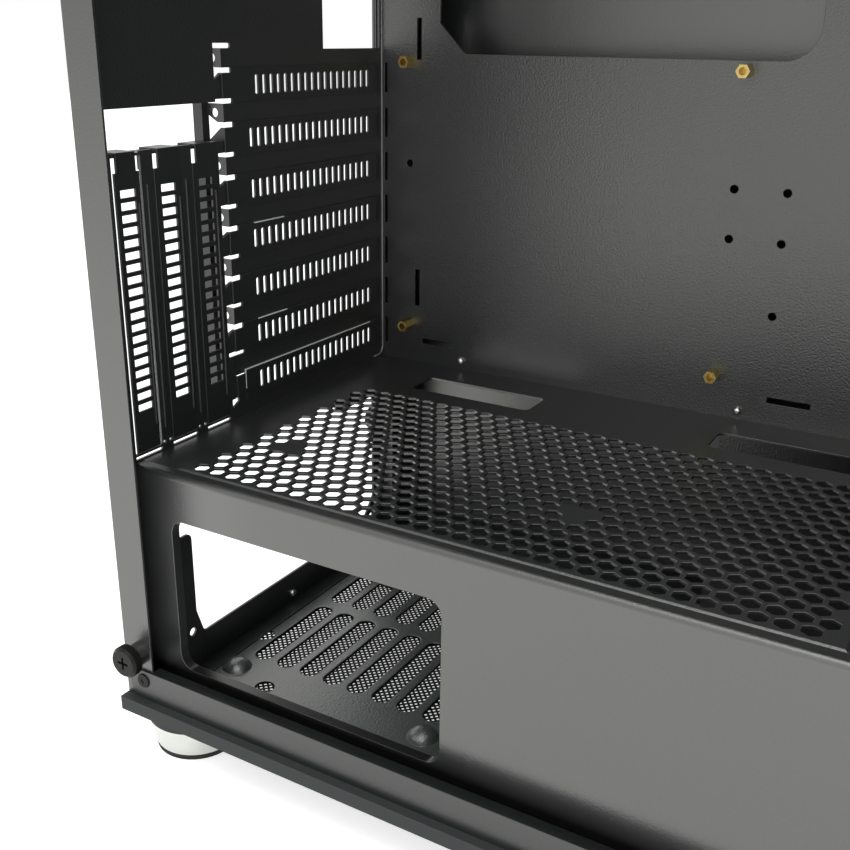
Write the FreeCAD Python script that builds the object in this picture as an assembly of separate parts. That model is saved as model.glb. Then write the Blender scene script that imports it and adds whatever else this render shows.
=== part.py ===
"""Mid-tower computer case with a power-supply shroud, left side panel taken off.

Millimetres. +Z is up, the front is -Y, the open side is -X. The origin is on the floor,
under the middle of the overall box.
"""
import FreeCAD, Part
import math
import os

V = FreeCAD.Vector

# Sheet metal and general clearances
sheet = 1.0                  # chassis steel
cover_sheet = 0.8            # slot covers, guard and posts of light gauge
slip = 0.3                   # gap between pieces that slide past each other
running = 0.05               # radial gap of a shank in its bore

# Chassis
left_reach = 180.0           # tray face to the open-side flange face
cable_space = 21.0           # behind the tray
chassis_depth = 401.2        # front sheet to the rear rim
rear_recess = 9.2            # rear panel set in from the rim
flange_lap = 5.2             # side flange in front of the rear panel
front_flange = 18.0          # width of the front frame's side flanges
bay_height = 104.3           # clear height of the power-supply bay
wall_inset = 4.0             # shroud wall behind the open-side flange face
board_gap = 2.0              # shroud to the main board's lower edge
top_gap = 32.0               # main board's upper edge to the top panel

# Base, top cover and front bezel
skirt_thick = 6.1
skirt_proud = 4.7            # skirt and top cover stand out past the flange faces
skirt_bar = 27.0             # width of the skirt's side bars under the bottom panel
skirt_front = 40.0           # width of its front bar
panel_seat = 1.9             # bottom panel above the skirt's underside
cover_thick = 7.0
bezel_depth = 24.0
bezel_wall = 3.0
peg_radius = 3.0
peg_length = 9.0

# Feet
foot_pad_thick = 2.4
foot_ring_height = 11.9
foot_body_height = 4.5
foot_radius = 20.0
foot_taper = 2.6
foot_core_radius = 14.0
foot_inset = 17.5            # foot centre from the side flange faces
foot_rear = 20.5             # foot centre from the rear rim
foot_front = 45.0            # foot centre from the front sheet

# Main-board pattern, as the board standard gives it
board_height = 304.8
board_row_up = 16.51         # lower standoff row above the board's lower edge
rows_up = (0.0, 124.46, 281.94)
column_one = 15.8            # first standoff column in front of the rear panel
columns = (0.0, 154.94, 227.33)
stand_off = 6.5
stand_across = 5.0
stand_bore = 1.5
stud_radius = 1.7

# Expansion slots
slot_pitch = 20.32
slot_count = 7
slot_one_up = 117.15         # first slot above the lower standoff row
slot_open = 11.0
slot_near = 10.0             # slot opening's end nearest the tray
cover_height = 13.2
cover_near = 6.0             # cover's end nearest the tray
cover_length = 102.4
tab_plane = 113.0            # bent tabs, from the tray face
neck_height = 9.5
vent_count = 19
vent_pitch = 4.67
vent_width = 1.9
vent_height = 7.6
vent_start = 13.65           # first vent, from the tray face
ledge_height = 7.0           # screw ledge between two slots
ledge_slit = 1.9
slit_run = 6.0               # relief slits past the bend
ledge_view = 4.3             # window beside a ledge, from the bend
ledge_drop = 2.3             # slant of the window's lower edge
corner_run = 5.0             # bevel on the free corners of the ledges
corner_rise = 3.0
tab_rise = 6.0               # slant of a cover's tab towards its end
ledge_hole = 1.75
last_lap = 3.0               # last slot's opening starts this far behind its cover's end
tail_view = 3.6              # small window under the last cover's tab, each way from the bend
tail_near = 0.4
tail_high = 3.7              # its height on the far side of the bend, and on the near one
tail_low = 1.65
guard_leg = 4.6
guard_step = 3.0

# Upright slots
upright_count = 3
upright_first = 166.2        # first upright slot's middle, from the tray face
upright_open = 14.2
upright_gaps = ((1.15, 1.0), (0.35, 0.15), (0.35, 0.15))  # open slits left and right of each cover
upright_notches = ((1.25, 1.4), (2.25, 0.0), (2.25, 0.0))  # each cover's neck, in from its sides
upright_neck = 7.0           # height of the neck, tab included
upright_stand = 0.2         # cover's foot above its opening's end
upright_top = 20.5           # top of the upright slots, below the first flat slot
upright_foot = 2.7           # end of the upright slots above the shroud
upright_vent = 7.4
upright_vent_height = 2.8
upright_vent_pitch = 4.46
upright_vent_top = 14.4      # first vent below the slots' top
access_height = 14.7
access_margin = 5.3          # access opening from the open-side flange face
pin_hole = 0.7
shelf_depth = 8.3
shelf_foot = 6.0
shelf_tab = 8.0

# Rear fan and rear panel openings
fan_hole_spacing = 105.0
fan_size = 120.0
fan_hole = 2.2
fan_up = 100.0               # fan middle above the first slot
fan_hex_pitch = 11.0
fan_hex_web = 2.2
port_height = 158.75
port_width = 44.45
port_near = 1.85
port_up = 130.25             # rear port opening above the lower standoff row
supply_width = 150.0         # power supply, as its standard gives it
supply_height = 86.0
supply_near = 6.0            # from the tray face
supply_lift = 12.5           # above the bottom panel
supply_rim = 9.0             # opening inside the supply's outline, open side
supply_rim_near = 3.4        # and on the tray's side
supply_hole_in = 6.0
supply_hole_rise = 64.0
supply_hole_step = 24.0      # fourth hole in from the others, and above them
supply_hole_extra = 10.0
supply_hole = 1.9
supply_round = 3.0           # rounded corners of the opening

# Shroud
bend_radius = 2.5
shroud_lip = 5.5             # folded strip beside the perforated top
field_raise = 0.5
field_slope = 0.8
hex_pitch = 7.45
hex_web = 1.6
hex_rows = 18
hex_columns = 31
hex_side = 11.2              # first row from the shroud wall
hex_back = 25.4              # first hexagon from the rear panel
field_margin = 7.0           # raised field past the hexagons
bare_back = (40.1, 163.9)    # unperforated spots, from the rear panel
bare_side = 46.5             # and from the shroud wall
bare_radius = 6.5
cable_hole_back = (40.5, 181.0)
cable_hole_length = 60.5
cable_hole_near = 20.0       # from the tray face
cable_hole_width = 19.0
cable_hole_round = 3.0
radiator_gap = 55.0          # shroud top ends this far behind the front sheet
window_back = 18.2
window_length = 118.6
window_drop = 18.7           # below the shroud's top
window_height = 65.0
window_round = 6.0
window_lip = 4.0

# Side rails
rail_height = 13.3
rivet_radius = 3.2
rivet_high = 0.6
rivet_back = 7.6             # rivets from the rails' ends
rivet_drop = 4.5             # and from their free edges

# Tray openings
cutout_back = 31.3
cutout_length = 166.0
cutout_up = 128.35           # cooler cut-out's lower edge above the lower standoff row
cutout_height = 126.8
cutout_round = 13.0
grommet_back = 262.0
grommet_width = 28.0
grommet_height = 78.0
grommet_step = 108.0
pass_back = 6.0              # supply's cable opening in the tray: from the rear panel
pass_length = 170.0
pass_low = 6.0               # above the bottom panel
pass_high = 8.0              # below the shroud
tongue_slit = 1.6            # slits for the covers' ends, beside the rear panel
tongue_back = 1.6
tie_length = 18.0
tie_width = 2.6

# Bottom panel
bottom_vent_length = 52.0
bottom_vent_width = 8.0
bottom_vent_pitch = 12.4
bottom_vent_rows = 9
bottom_vent_back = 14.0
bottom_vent_left = 51.3      # from the open-side flange face
bottom_vent_gap = 6.5
bottom_vent_edge = 0.8       # rounded upper edges of the vents
peep_radius = 4.2            # round holes in the bottom panel: from the flange face and the rear panel
peep_places = ((68.0, 8.0), (35.0, 34.0))
dome_radius = 6.5
dome_height = 4.2
dome_left = 41.0             # from the open-side flange face
dome_span = 129.0
dome_back = 13.9
dome_run = 94.7

# Dust filters
filter_thick = 1.3
filter_length = 143.0
filter_border = 3.0
filter_grip = 5.0
filter_mesh_thick = 0.5
runner_reach = 3.5
runner_seat = 5.0
runner_thick = 1.8
top_filter_thick = 2.4
top_open_side = 20.0
top_open_back = 24.0
top_open_length = 268.0

# Front frame and top panel openings
front_fan_hole = 114.0
front_fan_pitch = 124.0
front_fan_count = 3
front_fan_low = 36.0         # lowest opening's edge above the bottom panel
top_vent_length = 62.0
top_vent_width = 6.0
top_vent_pitch = 12.0
top_vent_rows = 18

# Drive cage
cage_width = 104.0
cage_length = 118.0
cage_bay = 30.0
cage_front = 16.0            # from the front sheet
cage_side = 30.0             # from the shroud wall

# Thumbscrews and posts of the open side
post_radius = 4.7
post_length = 5.7
head_radius = 6.6
head_length = 4.4
head_gap = 0.1
shank_radius = 1.75
knurl_count = 40
knurl_depth = 0.35
cross_length = 5.6
cross_width = 1.1
cross_depth = 1.6
post_low = 24.6              # lower posts above the bottom panel
post_high = 25.0             # upper posts below the top panel

# Right side panel
panel_lip = 14.0
side_head_radius = 6.0
side_head_length = 7.0
side_shank = 9.0
side_screw_end = 60.0        # screws in from the panel's ends

# Front connectors
button_radius = 7.0
button_flange = 1.2
button_flange_thick = 1.2
button_travel = 1.2
button_proud = 0.8
reset_radius = 3.0
usb_width = 13.2
usb_depth = 5.8
usb_wall = 0.5
usb_tongue = 2.0
jack_radius = 3.4
jack_bore = 1.8
io_back = 40.0               # connector line behind the front sheet
io_pitch = 22.0

# Reference planes
overall_width = post_length + head_gap + head_length + left_reach + sheet + cable_space + skirt_proud
x_flange = -overall_width / 2 + post_length + head_gap + head_length
x_tray = x_flange + left_reach
x_right = x_tray + sheet + cable_space
x_wall = x_flange + wall_inset
overall_depth = bezel_depth + chassis_depth + slip + sheet + side_head_length
y_front = -overall_depth / 2 + bezel_depth
y_rim = y_front + chassis_depth
y_rear = y_rim - rear_recess
y_inside = y_front + sheet
z_skirt = foot_pad_thick + foot_ring_height + foot_body_height
z_ledge = z_skirt + skirt_thick
z_under = z_skirt + panel_seat
z_floor = z_under + sheet
z_shroud = z_floor + bay_height + sheet
z_row = z_shroud + board_gap + board_row_up
z_top = z_shroud + board_gap + board_height + top_gap
z_cover = z_top + sheet
z_cover_top = z_cover + cover_thick
z_slot = z_row + slot_one_up
z_rail = z_ledge + rail_height
y_lap = y_rear - flange_lap
y_flange = y_front + front_flange


# Shapes

def box(x0, y0, z0, x1, y1, z1):
    """Block between two corners."""
    return Part.makeBox(x1 - x0, y1 - y0, z1 - z0, V(x0, y0, z0))


def rod(radius, length, start, axis):
    """Cylinder from a start point along an axis."""
    return Part.makeCylinder(radius, length, V(*start), V(*axis))


def loop(points):
    """Closed wire through points."""
    corners = [V(*p) for p in points]
    return Part.makePolygon(corners + corners[:1])


def hexagon(cx, cy, across, place):
    """Hexagon wire with corners on the first axis; place turns two coordinates into a point."""
    corner = across / math.sqrt(3)
    turns = [math.radians(60 * k) for k in range(6)]
    return loop([place(cx + corner * math.cos(t), cy + corner * math.sin(t)) for t in turns])


def pierced(outline, holes, depth):
    """Flat sheet with holes, pulled out by a depth vector."""
    face = Part.makeFace([outline] + holes, "Part::FaceMakerBullseye")
    return face.extrude(V(*depth))


def rounded_block(x0, y0, z0, x1, y1, z1, radius, axis):
    """Block with its edges along one axis rounded."""
    block = box(x0, y0, z0, x1, y1, z1)
    along = V(*axis)
    edges = [e for e in block.Edges if abs(e.tangentAt(e.FirstParameter).dot(along)) > 0.99]
    return block.makeFillet(radius, edges)


def obround(length, width, depth, corner, axis_long, axis_wide, axis_deep):
    """Slot tool: length and width over all, standing on corner, along three axis vectors."""
    u, v, w = V(*axis_long), V(*axis_wide), V(*axis_deep)
    r = width / 2
    o = V(*corner)
    a, b = o + u * r, o + u * (length - r)
    c, d = b + v * width, a + v * width
    far, near = o + u * length + v * r, o + v * r
    edges = [Part.makeLine(a, b), Part.Arc(b, far, c).toShape(), Part.makeLine(c, d),
             Part.Arc(d, near, a).toShape()]
    return Part.Face(Part.Wire(edges)).extrude(w * depth)


def cut_all(body, tools):
    """Body less a list of tools."""
    return body.cut(Part.makeCompound(tools)) if tools else body


def join(*bodies):
    """One clean solid from touching bodies."""
    return bodies[0].multiFuse(list(bodies[1:])).removeSplitter()


# Slots and their covers

def slot_middle(number):
    """Height of a flat slot's middle, counted from the top."""
    return z_slot - slot_pitch * number


def upright_middle(number):
    """Place of an upright slot's middle, counted from the open side."""
    return x_tray - upright_first + slot_pitch * number


z_upright = z_slot - upright_top
z_upright_foot = z_shroud + upright_foot
z_shelf = z_upright - cover_sheet
x_tab = x_tray - tab_plane
x_neck = x_tab - cover_sheet - slip
x_hem = x_flange + 2 * sheet
ledge_reach = rear_recess - cover_sheet
ledge_window = ledge_height + 2 * ledge_slit


def bent_tab(x0, thick, y0, z, high, side, run, rise):
    """Tab bent to the rear, its free corner bevelled above (side 1) or below (side -1)."""
    end = y0 + ledge_reach
    far, near = z + side * high / 2, z - side * high / 2
    outline = loop([(x0, y0, near), (x0, end, near), (x0, end, far - side * rise),
                    (x0, end - run, far), (x0, y0, far)])
    return Part.Face(outline).extrude(V(thick, 0, 0))


def slot_cover(number):
    """Flat slot cover: vented plate, neck and a tab bent to the rear."""
    z = slot_middle(number)
    x1 = x_tray - cover_near
    x0 = x1 - cover_length
    y0 = y_rear - cover_sheet
    plate = box(x0, y0, z - cover_height / 2, x1, y_rear, z + cover_height / 2)
    neck = box(x_tab - cover_sheet, y0, z - neck_height / 2, x0, y_rear, z + neck_height / 2)
    tab = bent_tab(x_tab - cover_sheet, cover_sheet, y_rear, z, neck_height, 1, ledge_reach - sheet, tab_rise)
    vents = vent_count - 1 if number == 0 else vent_count
    tools = []
    for k in range(vents):
        x = x_tray - vent_start - vent_pitch * k
        tools.append(obround(vent_height, vent_width, 3 * cover_sheet,
                             (x - vent_width / 2, y_rear - 2 * cover_sheet, z - vent_height / 2),
                             (0, 0, 1), (1, 0, 0), (0, 1, 0)))
    return cut_all(join(plate, neck, tab), tools)


def upright_cover(number):
    """Upright slot cover standing in its opening, hung by a tab on the shelf."""
    x = upright_middle(number)
    x0 = x - upright_open / 2 + upright_gaps[number][0]
    x1 = x + upright_open / 2 - upright_gaps[number][1]
    neck0 = x0 + upright_notches[number][0]
    neck1 = x1 - upright_notches[number][1]
    neck_end = z_upright - upright_neck
    plate = box(x0, y_rear, z_upright_foot + upright_stand, x1, y_rear + cover_sheet, neck_end)
    throat = box(neck0, y_rear, neck_end, neck1, y_rear + cover_sheet, z_upright)
    tab = box(neck0, y_rear + cover_sheet, z_shelf, neck1, y_rear + sheet + shelf_tab, z_upright)
    tools = []
    for k in range(vent_count):
        z = z_upright - upright_vent_top - upright_vent_pitch * k
        tools.append(box(x - upright_vent / 2, y_rear - sheet, z - upright_vent_height / 2,
                         x + upright_vent / 2, y_rear + 2 * sheet, z + upright_vent_height / 2))
    return cut_all(join(plate, throat, tab), tools)


def ledge_centres():
    """Heights of the screw ledges, one above each flat slot but the last."""
    return [slot_middle(n) + slot_pitch / 2 for n in range(slot_count - 1)]


def slot_guard():
    """Angle strip over the rear ends of the screw ledges."""
    z0 = slot_middle(slot_count - 1)
    z1 = slot_middle(0) + slot_pitch
    y0 = y_rear + ledge_reach
    x0 = x_tab - guard_step
    web = box(x0, y0, z0, x_tab + sheet, y0 + cover_sheet, z1)
    leg = box(x0, y0, z0, x0 + cover_sheet, y0 + guard_leg, z1)
    return join(web, leg)


def upright_shelf():
    """Angle strip that the upright covers' tabs lie on, with a foot on each strip of the panel."""
    y0 = y_rear + sheet
    x1 = upright_middle(upright_count - 1) + upright_open / 2
    parts = [box(x_hem, y0, z_shelf - sheet, x1, y0 + shelf_depth - slip, z_shelf)]
    half = (slot_pitch - upright_open) / 2 - slip
    for n in range(upright_count - 1):
        x = upright_middle(n) + slot_pitch / 2
        parts.append(box(x - half, y0, z_shelf - shelf_foot, x + half, y0 + sheet, z_shelf))
    return join(*parts)


# Rear panel

fan_x = (x_flange + x_tray - port_near - port_width) / 2
fan_z = z_slot + fan_up
supply_x1 = x_tray - supply_near
supply_x0 = supply_x1 - supply_width
supply_z0 = z_floor + supply_lift
supply_z1 = supply_z0 + supply_height
x_port1 = x_tray - port_near
x_port0 = x_port1 - port_width
z_port0 = z_row + port_up
z_port1 = z_port0 + port_height
z_access = z_upright + access_height


def supply_holes():
    """Screw places of the power supply, in its standard uneven pattern."""
    low = supply_z0 + supply_hole_in
    high = low + supply_hole_rise
    left = supply_x0 + supply_hole_in
    right = supply_x1 - supply_hole_in
    return [(left, low), (right, low), (left, high),
            (right - supply_hole_step, high + supply_hole_extra)]


def supply_opening():
    """Power-supply opening: inside the supply's outline, stepped round its screw places, corners rounded."""
    step = 2 * supply_hole_in
    x0, x1 = supply_x0 + supply_rim, supply_x1 - supply_rim_near
    z0, z1 = supply_z0 + step / 4, supply_z1 - step / 2
    high = supply_z0 + supply_hole_in + supply_hole_rise - step / 2
    side = high - step
    ear = supply_x1 - supply_hole_in - supply_hole_step - step / 2
    under = high + supply_hole_extra - sheet
    notch = supply_rim - sheet
    points = [(x0 + step / 3, z0), (x1 - step, z0), (x1, z0 + step + step / 6), (x1, under),
              (ear, under), (ear, z1), (x0, z1), (x0, high), (x0 - notch, high), (x0 - notch, side),
              (x0, side), (x0, z0 + step)]
    prism = Part.Face(loop([(x, y_rear - sheet, z) for x, z in points])).extrude(V(0, 3 * sheet, 0))
    corners = [edge for edge in prism.Edges if abs(edge.tangentAt(edge.FirstParameter).y) > 0.5]
    return prism.makeFillet(supply_round, corners)


def fan_grille_holes():
    """Hexagons that fill the fan's circle."""
    holes = []
    rise = fan_hex_pitch * math.sqrt(3) / 2
    reach = int(fan_size / fan_hex_pitch)
    limit = fan_size / 2 - fan_hex_pitch / 2
    for i in range(-reach, reach + 1):
        for k in range(-reach, reach + 1):
            x = i * rise
            z = (k + 0.5 * (i % 2)) * fan_hex_pitch
            if math.hypot(x, z) < limit:
                holes.append(hexagon(fan_x + x, fan_z + z, fan_hex_pitch - fan_hex_web,
                                     lambda a, b: (a, y_rear, b)))
    return holes


def relief_slit(z):
    """Slit beside a ledge, from its bend into the rear sheet."""
    return obround(slit_run + sheet + ledge_slit / 2, ledge_slit, 3 * sheet,
                   (x_tab - sheet - ledge_slit / 2, y_rear - sheet, z - ledge_slit / 2),
                   (1, 0, 0), (0, 0, 1), (0, 1, 0))


def last_slot_reliefs(z, half):
    """Openings round the last cover's tab: a slit above, a narrow gap beside it, a small window below."""
    deep0, deep1 = y_rear - sheet, y_rear + 2 * sheet
    top = z + (slot_pitch + ledge_height + ledge_slit) / 2
    low = z - half
    window = loop([(x_tab + tail_near, deep0, low), (x_tab - tail_view, deep0, low),
                   (x_tab - tail_view, deep0, low - tail_high), (x_tab + tail_near, deep0, low - tail_low)])
    return [relief_slit(top),
            box(x_tab - ledge_view, deep0, top - ledge_slit / 2, x_tab, deep1, top + ledge_slit / 2),
            box(x_neck, deep0, low, x_neck + slip, deep1, top),
            Part.Face(window).extrude(V(0, 3 * sheet, 0))]


def rear_sheet():
    """Rear sheet between its folded sides, with all its openings."""
    x1 = x_right - sheet
    outline = loop([(x_hem, y_rear, z_floor), (x1, y_rear, z_floor),
                    (x1, y_rear, z_top), (x_hem, y_rear, z_top)])
    plate = pierced(outline, fan_grille_holes(), (0, sheet, 0))
    deep0, deep1 = y_rear - sheet, y_rear + 2 * sheet
    tools = [supply_opening()]
    half = neck_height / 2 + slip
    for n in range(slot_count):
        z = slot_middle(n)
        start = x_tab if n < slot_count - 1 else x_tray - cover_near - cover_length + last_lap
        tools.append(box(start, deep0, z - slot_open / 2, x_tray - slot_near, deep1, z + slot_open / 2))
        tools.append(box(x_neck, deep0, z - half, start + sheet, deep1, z + half))
    tools += last_slot_reliefs(slot_middle(slot_count - 1), half)
    for z in ledge_centres():
        low, high = z - ledge_window / 2, z + ledge_window / 2
        window = loop([(x_tab, deep0, low), (x_tab, deep0, high), (x_tab - ledge_view, deep0, high),
                       (x_tab - ledge_view, deep0, low - ledge_drop)])
        tools.append(Part.Face(window).extrude(V(0, 3 * sheet, 0)))
        for side in (-1, 1):
            tools.append(relief_slit(z + side * (ledge_height + ledge_slit) / 2))
    tools.append(box(x_flange + access_margin, deep0, z_upright, x_tab - sheet, deep1, z_access))
    for n in range(upright_count):
        x = upright_middle(n)
        tools.append(box(x - upright_open / 2, deep0, z_upright_foot, x + upright_open / 2, deep1, z_upright))
        tools.append(box(x - upright_open / 2, deep0, z_shroud + field_raise,
                         x + upright_open / 2, deep1, z_upright_foot - sheet))
    for n in range(upright_count - 1):
        for side in (-1, 1):
            x = upright_middle(n) + slot_pitch / 2 + side * ((slot_pitch - upright_open) / 2 - 2 * pin_hole)
            tools.append(rod(pin_hole, 3 * sheet, (x, deep0, z_upright_foot + pin_hole), (0, 1, 0)))
    tools.append(box(x_port0, deep0, z_port0, x_port1, deep1, z_port1))
    for sx in (-1, 1):
        for sz in (-1, 1):
            tools.append(rod(fan_hole, 3 * sheet, (fan_x + sx * fan_hole_spacing / 2, deep0,
                                                   fan_z + sz * fan_hole_spacing / 2), (0, 1, 0)))
    for x, z in supply_holes():
        tools.append(rod(supply_hole, 3 * sheet, (x, deep0, z), (0, 1, 0)))
    return cut_all(plate, tools)


def sheet_area(plate, *rectangles):
    """Part of the rear sheet inside rectangles, each from its low to its high corner in X and Z."""
    return plate.common(join(*[box(x0, y_rear, z0, x1, y_rear + sheet, z1) for x0, z0, x1, z1 in rectangles]))


def screw_ledges():
    """Ledges bent to the rear between the flat slots, each with a screw hole."""
    ledges = []
    for z in ledge_centres():
        hole = rod(ledge_hole, 3 * sheet, (x_tab - sheet, y_rear + rear_recess / 2, z), (1, 0, 0))
        ledges.append(bent_tab(x_tab, sheet, y_rear, z, ledge_height, -1, corner_run, corner_rise).cut(hole))
    return ledges


def rear_left_flange():
    """Folded side of the rear sheet at the open side: flange and doubled rim."""
    return join(box(x_flange, y_rear, z_floor, x_hem, y_rim, z_top),
                box(x_flange, y_lap, z_floor, x_flange + sheet, y_rear, z_top))


def rear_right_channel(plate):
    """Rear sheet right of the port opening with its rim and the strip that takes the side screws."""
    rim = box(x_right - sheet, y_lap, z_floor, x_right, y_rim, z_top)
    strip = box(x_right - panel_lip, y_rim - sheet, z_floor, x_right - sheet, y_rim, z_top)
    for z in side_screw_heights():
        strip = strip.cut(rod(shank_radius + running, 3 * sheet,
                              (side_screw_x, y_rim - 2 * sheet, z), (0, 1, 0)))
    return join(sheet_area(plate, (x_port1, z_floor, x_right - sheet, z_top)), rim, strip)


def rear_panels():
    """Rear sheet in its areas, by name, parted beside and between its openings."""
    plate = rear_sheet()
    seam = z_shroud - 2 * sheet
    ledge_top = ledge_centres()[0] + ledge_window / 2 + sheet
    slots = sheet_area(plate, (x_neck, seam, x_port1, z_port0), (x_neck, z_port0, x_port0, ledge_top))
    return {
        "rear_left_flange": rear_left_flange(),
        "rear_right_channel": rear_right_channel(plate),
        "rear_supply_panel": sheet_area(plate, (x_hem, z_floor, x_port1, seam)),
        "rear_upright_panel": sheet_area(plate, (x_hem, seam, x_neck, z_access)),
        "rear_slot_panel": join(slots, *screw_ledges()),
        "rear_fan_panel": sheet_area(plate, (x_hem, z_access, x_neck, z_top),
                                     (x_neck, ledge_top, x_port0, z_top), (x_port0, z_port1, x_port1, z_top)),
    }


# Bottom, top, front and tray

def bottom_vent_places():
    """Low corners of the bottom vents, from the rear forwards in two rows."""
    places = []
    for row in range(2):
        x = x_flange + bottom_vent_left + row * (bottom_vent_length + bottom_vent_gap)
        for k in range(bottom_vent_rows):
            places.append((x, y_rear - bottom_vent_back - bottom_vent_width - k * bottom_vent_pitch))
    return places


def dome_places():
    """Pressed domes that carry the power supply."""
    return [(x_flange + dome_left + i * dome_span, y_rear - dome_back - k * dome_run)
            for i in range(2) for k in range(2)]


def dome(x, y):
    """Hollow pressed dome standing on the bottom panel."""
    def cap(radius, height, base):
        ball = (radius ** 2 + height ** 2) / (2 * height)
        whole = Part.makeSphere(ball, V(x, y, base + height - ball))
        reach = 2 * radius
        return whole.common(box(x - reach, y - reach, base, x + reach, y + reach, base + height))
    return cap(dome_radius, dome_height, z_floor), cap(dome_radius - sheet, dome_height - sheet / 2, z_under)


def bottom_panel():
    """Bottom sheet with vents under the power supply and four pressed domes."""
    body = box(x_flange, y_front, z_under, x_right, y_rim, z_floor)
    tools = [obround(bottom_vent_length, bottom_vent_width, 3 * sheet, (x, y, z_under - sheet),
                     (1, 0, 0), (0, 1, 0), (0, 0, 1)) for x, y in bottom_vent_places()]
    for side, back in peep_places:
        tools.append(rod(peep_radius, 3 * sheet, (x_flange + side, y_rear - back, z_under - sheet), (0, 0, 1)))
    body = cut_all(body, tools)
    lengths = (bottom_vent_length - bottom_vent_width, math.pi * bottom_vent_width / 2)
    rims = [edge for edge in body.Edges if edge.BoundBox.ZMin > z_floor - sheet / 2
            and min(abs(edge.Length - length) for length in lengths) < slip / 10]
    body = body.makeFillet(min(bottom_vent_edge, 0.9 * sheet), rims)
    shells = [dome(x, y) for x, y in dome_places()]
    body = join(body, *[outer for outer, inner in shells])
    return cut_all(body, [inner for outer, inner in shells])


def top_panel():
    """Top sheet with rows of vents."""
    body = box(x_flange, y_front, z_top, x_right, y_rim, z_cover)
    tools = []
    middle = (x_flange + x_right) / 2
    start = y_rim - top_open_back - top_vent_pitch
    for side in (-1, 1):
        x = middle + side * (top_vent_length / 2 + top_vent_width) - top_vent_length / 2
        for k in range(top_vent_rows):
            tools.append(obround(top_vent_length, top_vent_width, 3 * sheet,
                                 (x, start - top_vent_width - k * top_vent_pitch, z_top - sheet),
                                 (1, 0, 0), (0, 1, 0), (0, 0, 1)))
    return cut_all(body, tools)


def peg_places():
    """Places of the bezel's pegs on the front frame."""
    edge = front_flange / 2 + sheet
    return [(x, z) for x in (x_flange + edge, x_right - edge) for z in (z_floor + edge, z_top - edge)]


def front_frame():
    """Front sheet with fan openings, its side flanges folded to the rear."""
    plate = box(x_flange, y_front, z_floor, x_right, y_inside, z_top)
    tools = []
    fan_middle = (x_flange + x_tray) / 2
    for k in range(front_fan_count):
        z = z_floor + front_fan_low + front_fan_hole / 2 + k * front_fan_pitch
        tools.append(rod(front_fan_hole / 2, 3 * sheet, (fan_middle, y_front - sheet, z), (0, 1, 0)))
        for sx in (-1, 1):
            for sz in (-1, 1):
                tools.append(rod(fan_hole, 3 * sheet, (fan_middle + sx * fan_hole_spacing / 2, y_front - sheet,
                                                       z + sz * fan_hole_spacing / 2), (0, 1, 0)))
    for x, z in peg_places():
        tools.append(rod(peg_radius + slip, 3 * sheet, (x, y_front - sheet, z), (0, 1, 0)))
    plate = cut_all(plate, tools)
    left = box(x_flange, y_inside, z_floor, x_flange + sheet, y_flange, z_top)
    right = box(x_right - sheet, y_inside, z_floor, x_right, y_flange, z_top)
    return join(plate, left, right)


def standoff_places():
    """Standoff columns and rows of the main board."""
    return [(y_rear - column_one - c, z_row + r) for c in columns for r in rows_up]


def spare_hole_places():
    """Bare standoff holes for smaller boards."""
    row = z_row + rows_up[1]
    small = y_rear - column_one - columns[1]
    step = slot_pitch + sheet
    return [(y_rear - column_one, row - 2.25 * slot_pitch), (small, row - 2.25 * slot_pitch),
            (small - step, row - 2.25 * slot_pitch), (small, row - 3.25 * slot_pitch),
            (small - step, row - 3.25 * slot_pitch), (small - step, row - 4.73 * slot_pitch)]


def tie_places():
    """Cable-tie slots: corner, and run along Y (flat) or Z (upright)."""
    back = y_rear - column_one
    return [(back - tie_length - 8 * sheet, z_row - 9 * sheet, "flat"),
            (back - columns[1] - 2.3 * tie_length, z_row - 9 * sheet, "flat"),
            (back - 6 * sheet, z_row + 10 * sheet, "upright"),
            (back - 6 * sheet, z_row + rows_up[1] + sheet, "upright")]


def motherboard_tray():
    """Tray sheet with the cooler cut-out, standoff holes, cable openings and tie slots."""
    body = box(x_tray, y_inside, z_floor, x_tray + sheet, y_rear, z_top)
    deep0, deep1 = x_tray - sheet, x_tray + 2 * sheet
    y1 = y_rear - cutout_back
    z0 = z_row + cutout_up
    opening = box(deep0, y1 - cutout_length, z0, deep1, y1, z0 + cutout_height)
    along = [e for e in opening.Edges if abs(e.tangentAt(e.FirstParameter).x) > 0.99]
    slanted = [e for e in along if e.CenterOfMass.y > y1 - sheet and e.CenterOfMass.z < z0 + sheet]
    opening = opening.makeFillet(cutout_round, [e for e in along if e not in slanted])
    slanted = [e for e in opening.Edges
               if abs(e.CenterOfMass.y - y1) < 0.01 and abs(e.CenterOfMass.z - z0) < 0.01]
    tools = [opening.makeChamfer(cutout_round, slanted)]
    for k in range(3):
        z = z_row + sheet + k * grommet_step
        tools.append(rounded_block(deep0, y_rear - grommet_back - grommet_width, z, deep1,
                                   y_rear - grommet_back, z + grommet_height, cutout_round, (1, 0, 0)))
    tools.append(rounded_block(deep0, y_rear - pass_back - pass_length, z_floor + pass_low, deep1,
                               y_rear - pass_back, z_shroud - pass_high, cable_hole_round, (1, 0, 0)))
    for y, z in standoff_places() + spare_hole_places():
        tools.append(rod(stud_radius + running, 3 * sheet, (deep0, y, z), (1, 0, 0)))
    for n in range(slot_count):
        z = slot_middle(n)
        tools.append(box(deep0, y_rear - tongue_back - tongue_slit, z - cover_height / 2,
                         deep1, y_rear - tongue_back, z + cover_height / 2))
    for y, z, run in tie_places():
        if run == "flat":
            tools.append(box(deep0, y, z, deep1, y + tie_length, z + tie_width))
        else:
            tools.append(box(deep0, y, z, deep1, y + tie_width, z + tie_length))
    return cut_all(body, tools)


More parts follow.
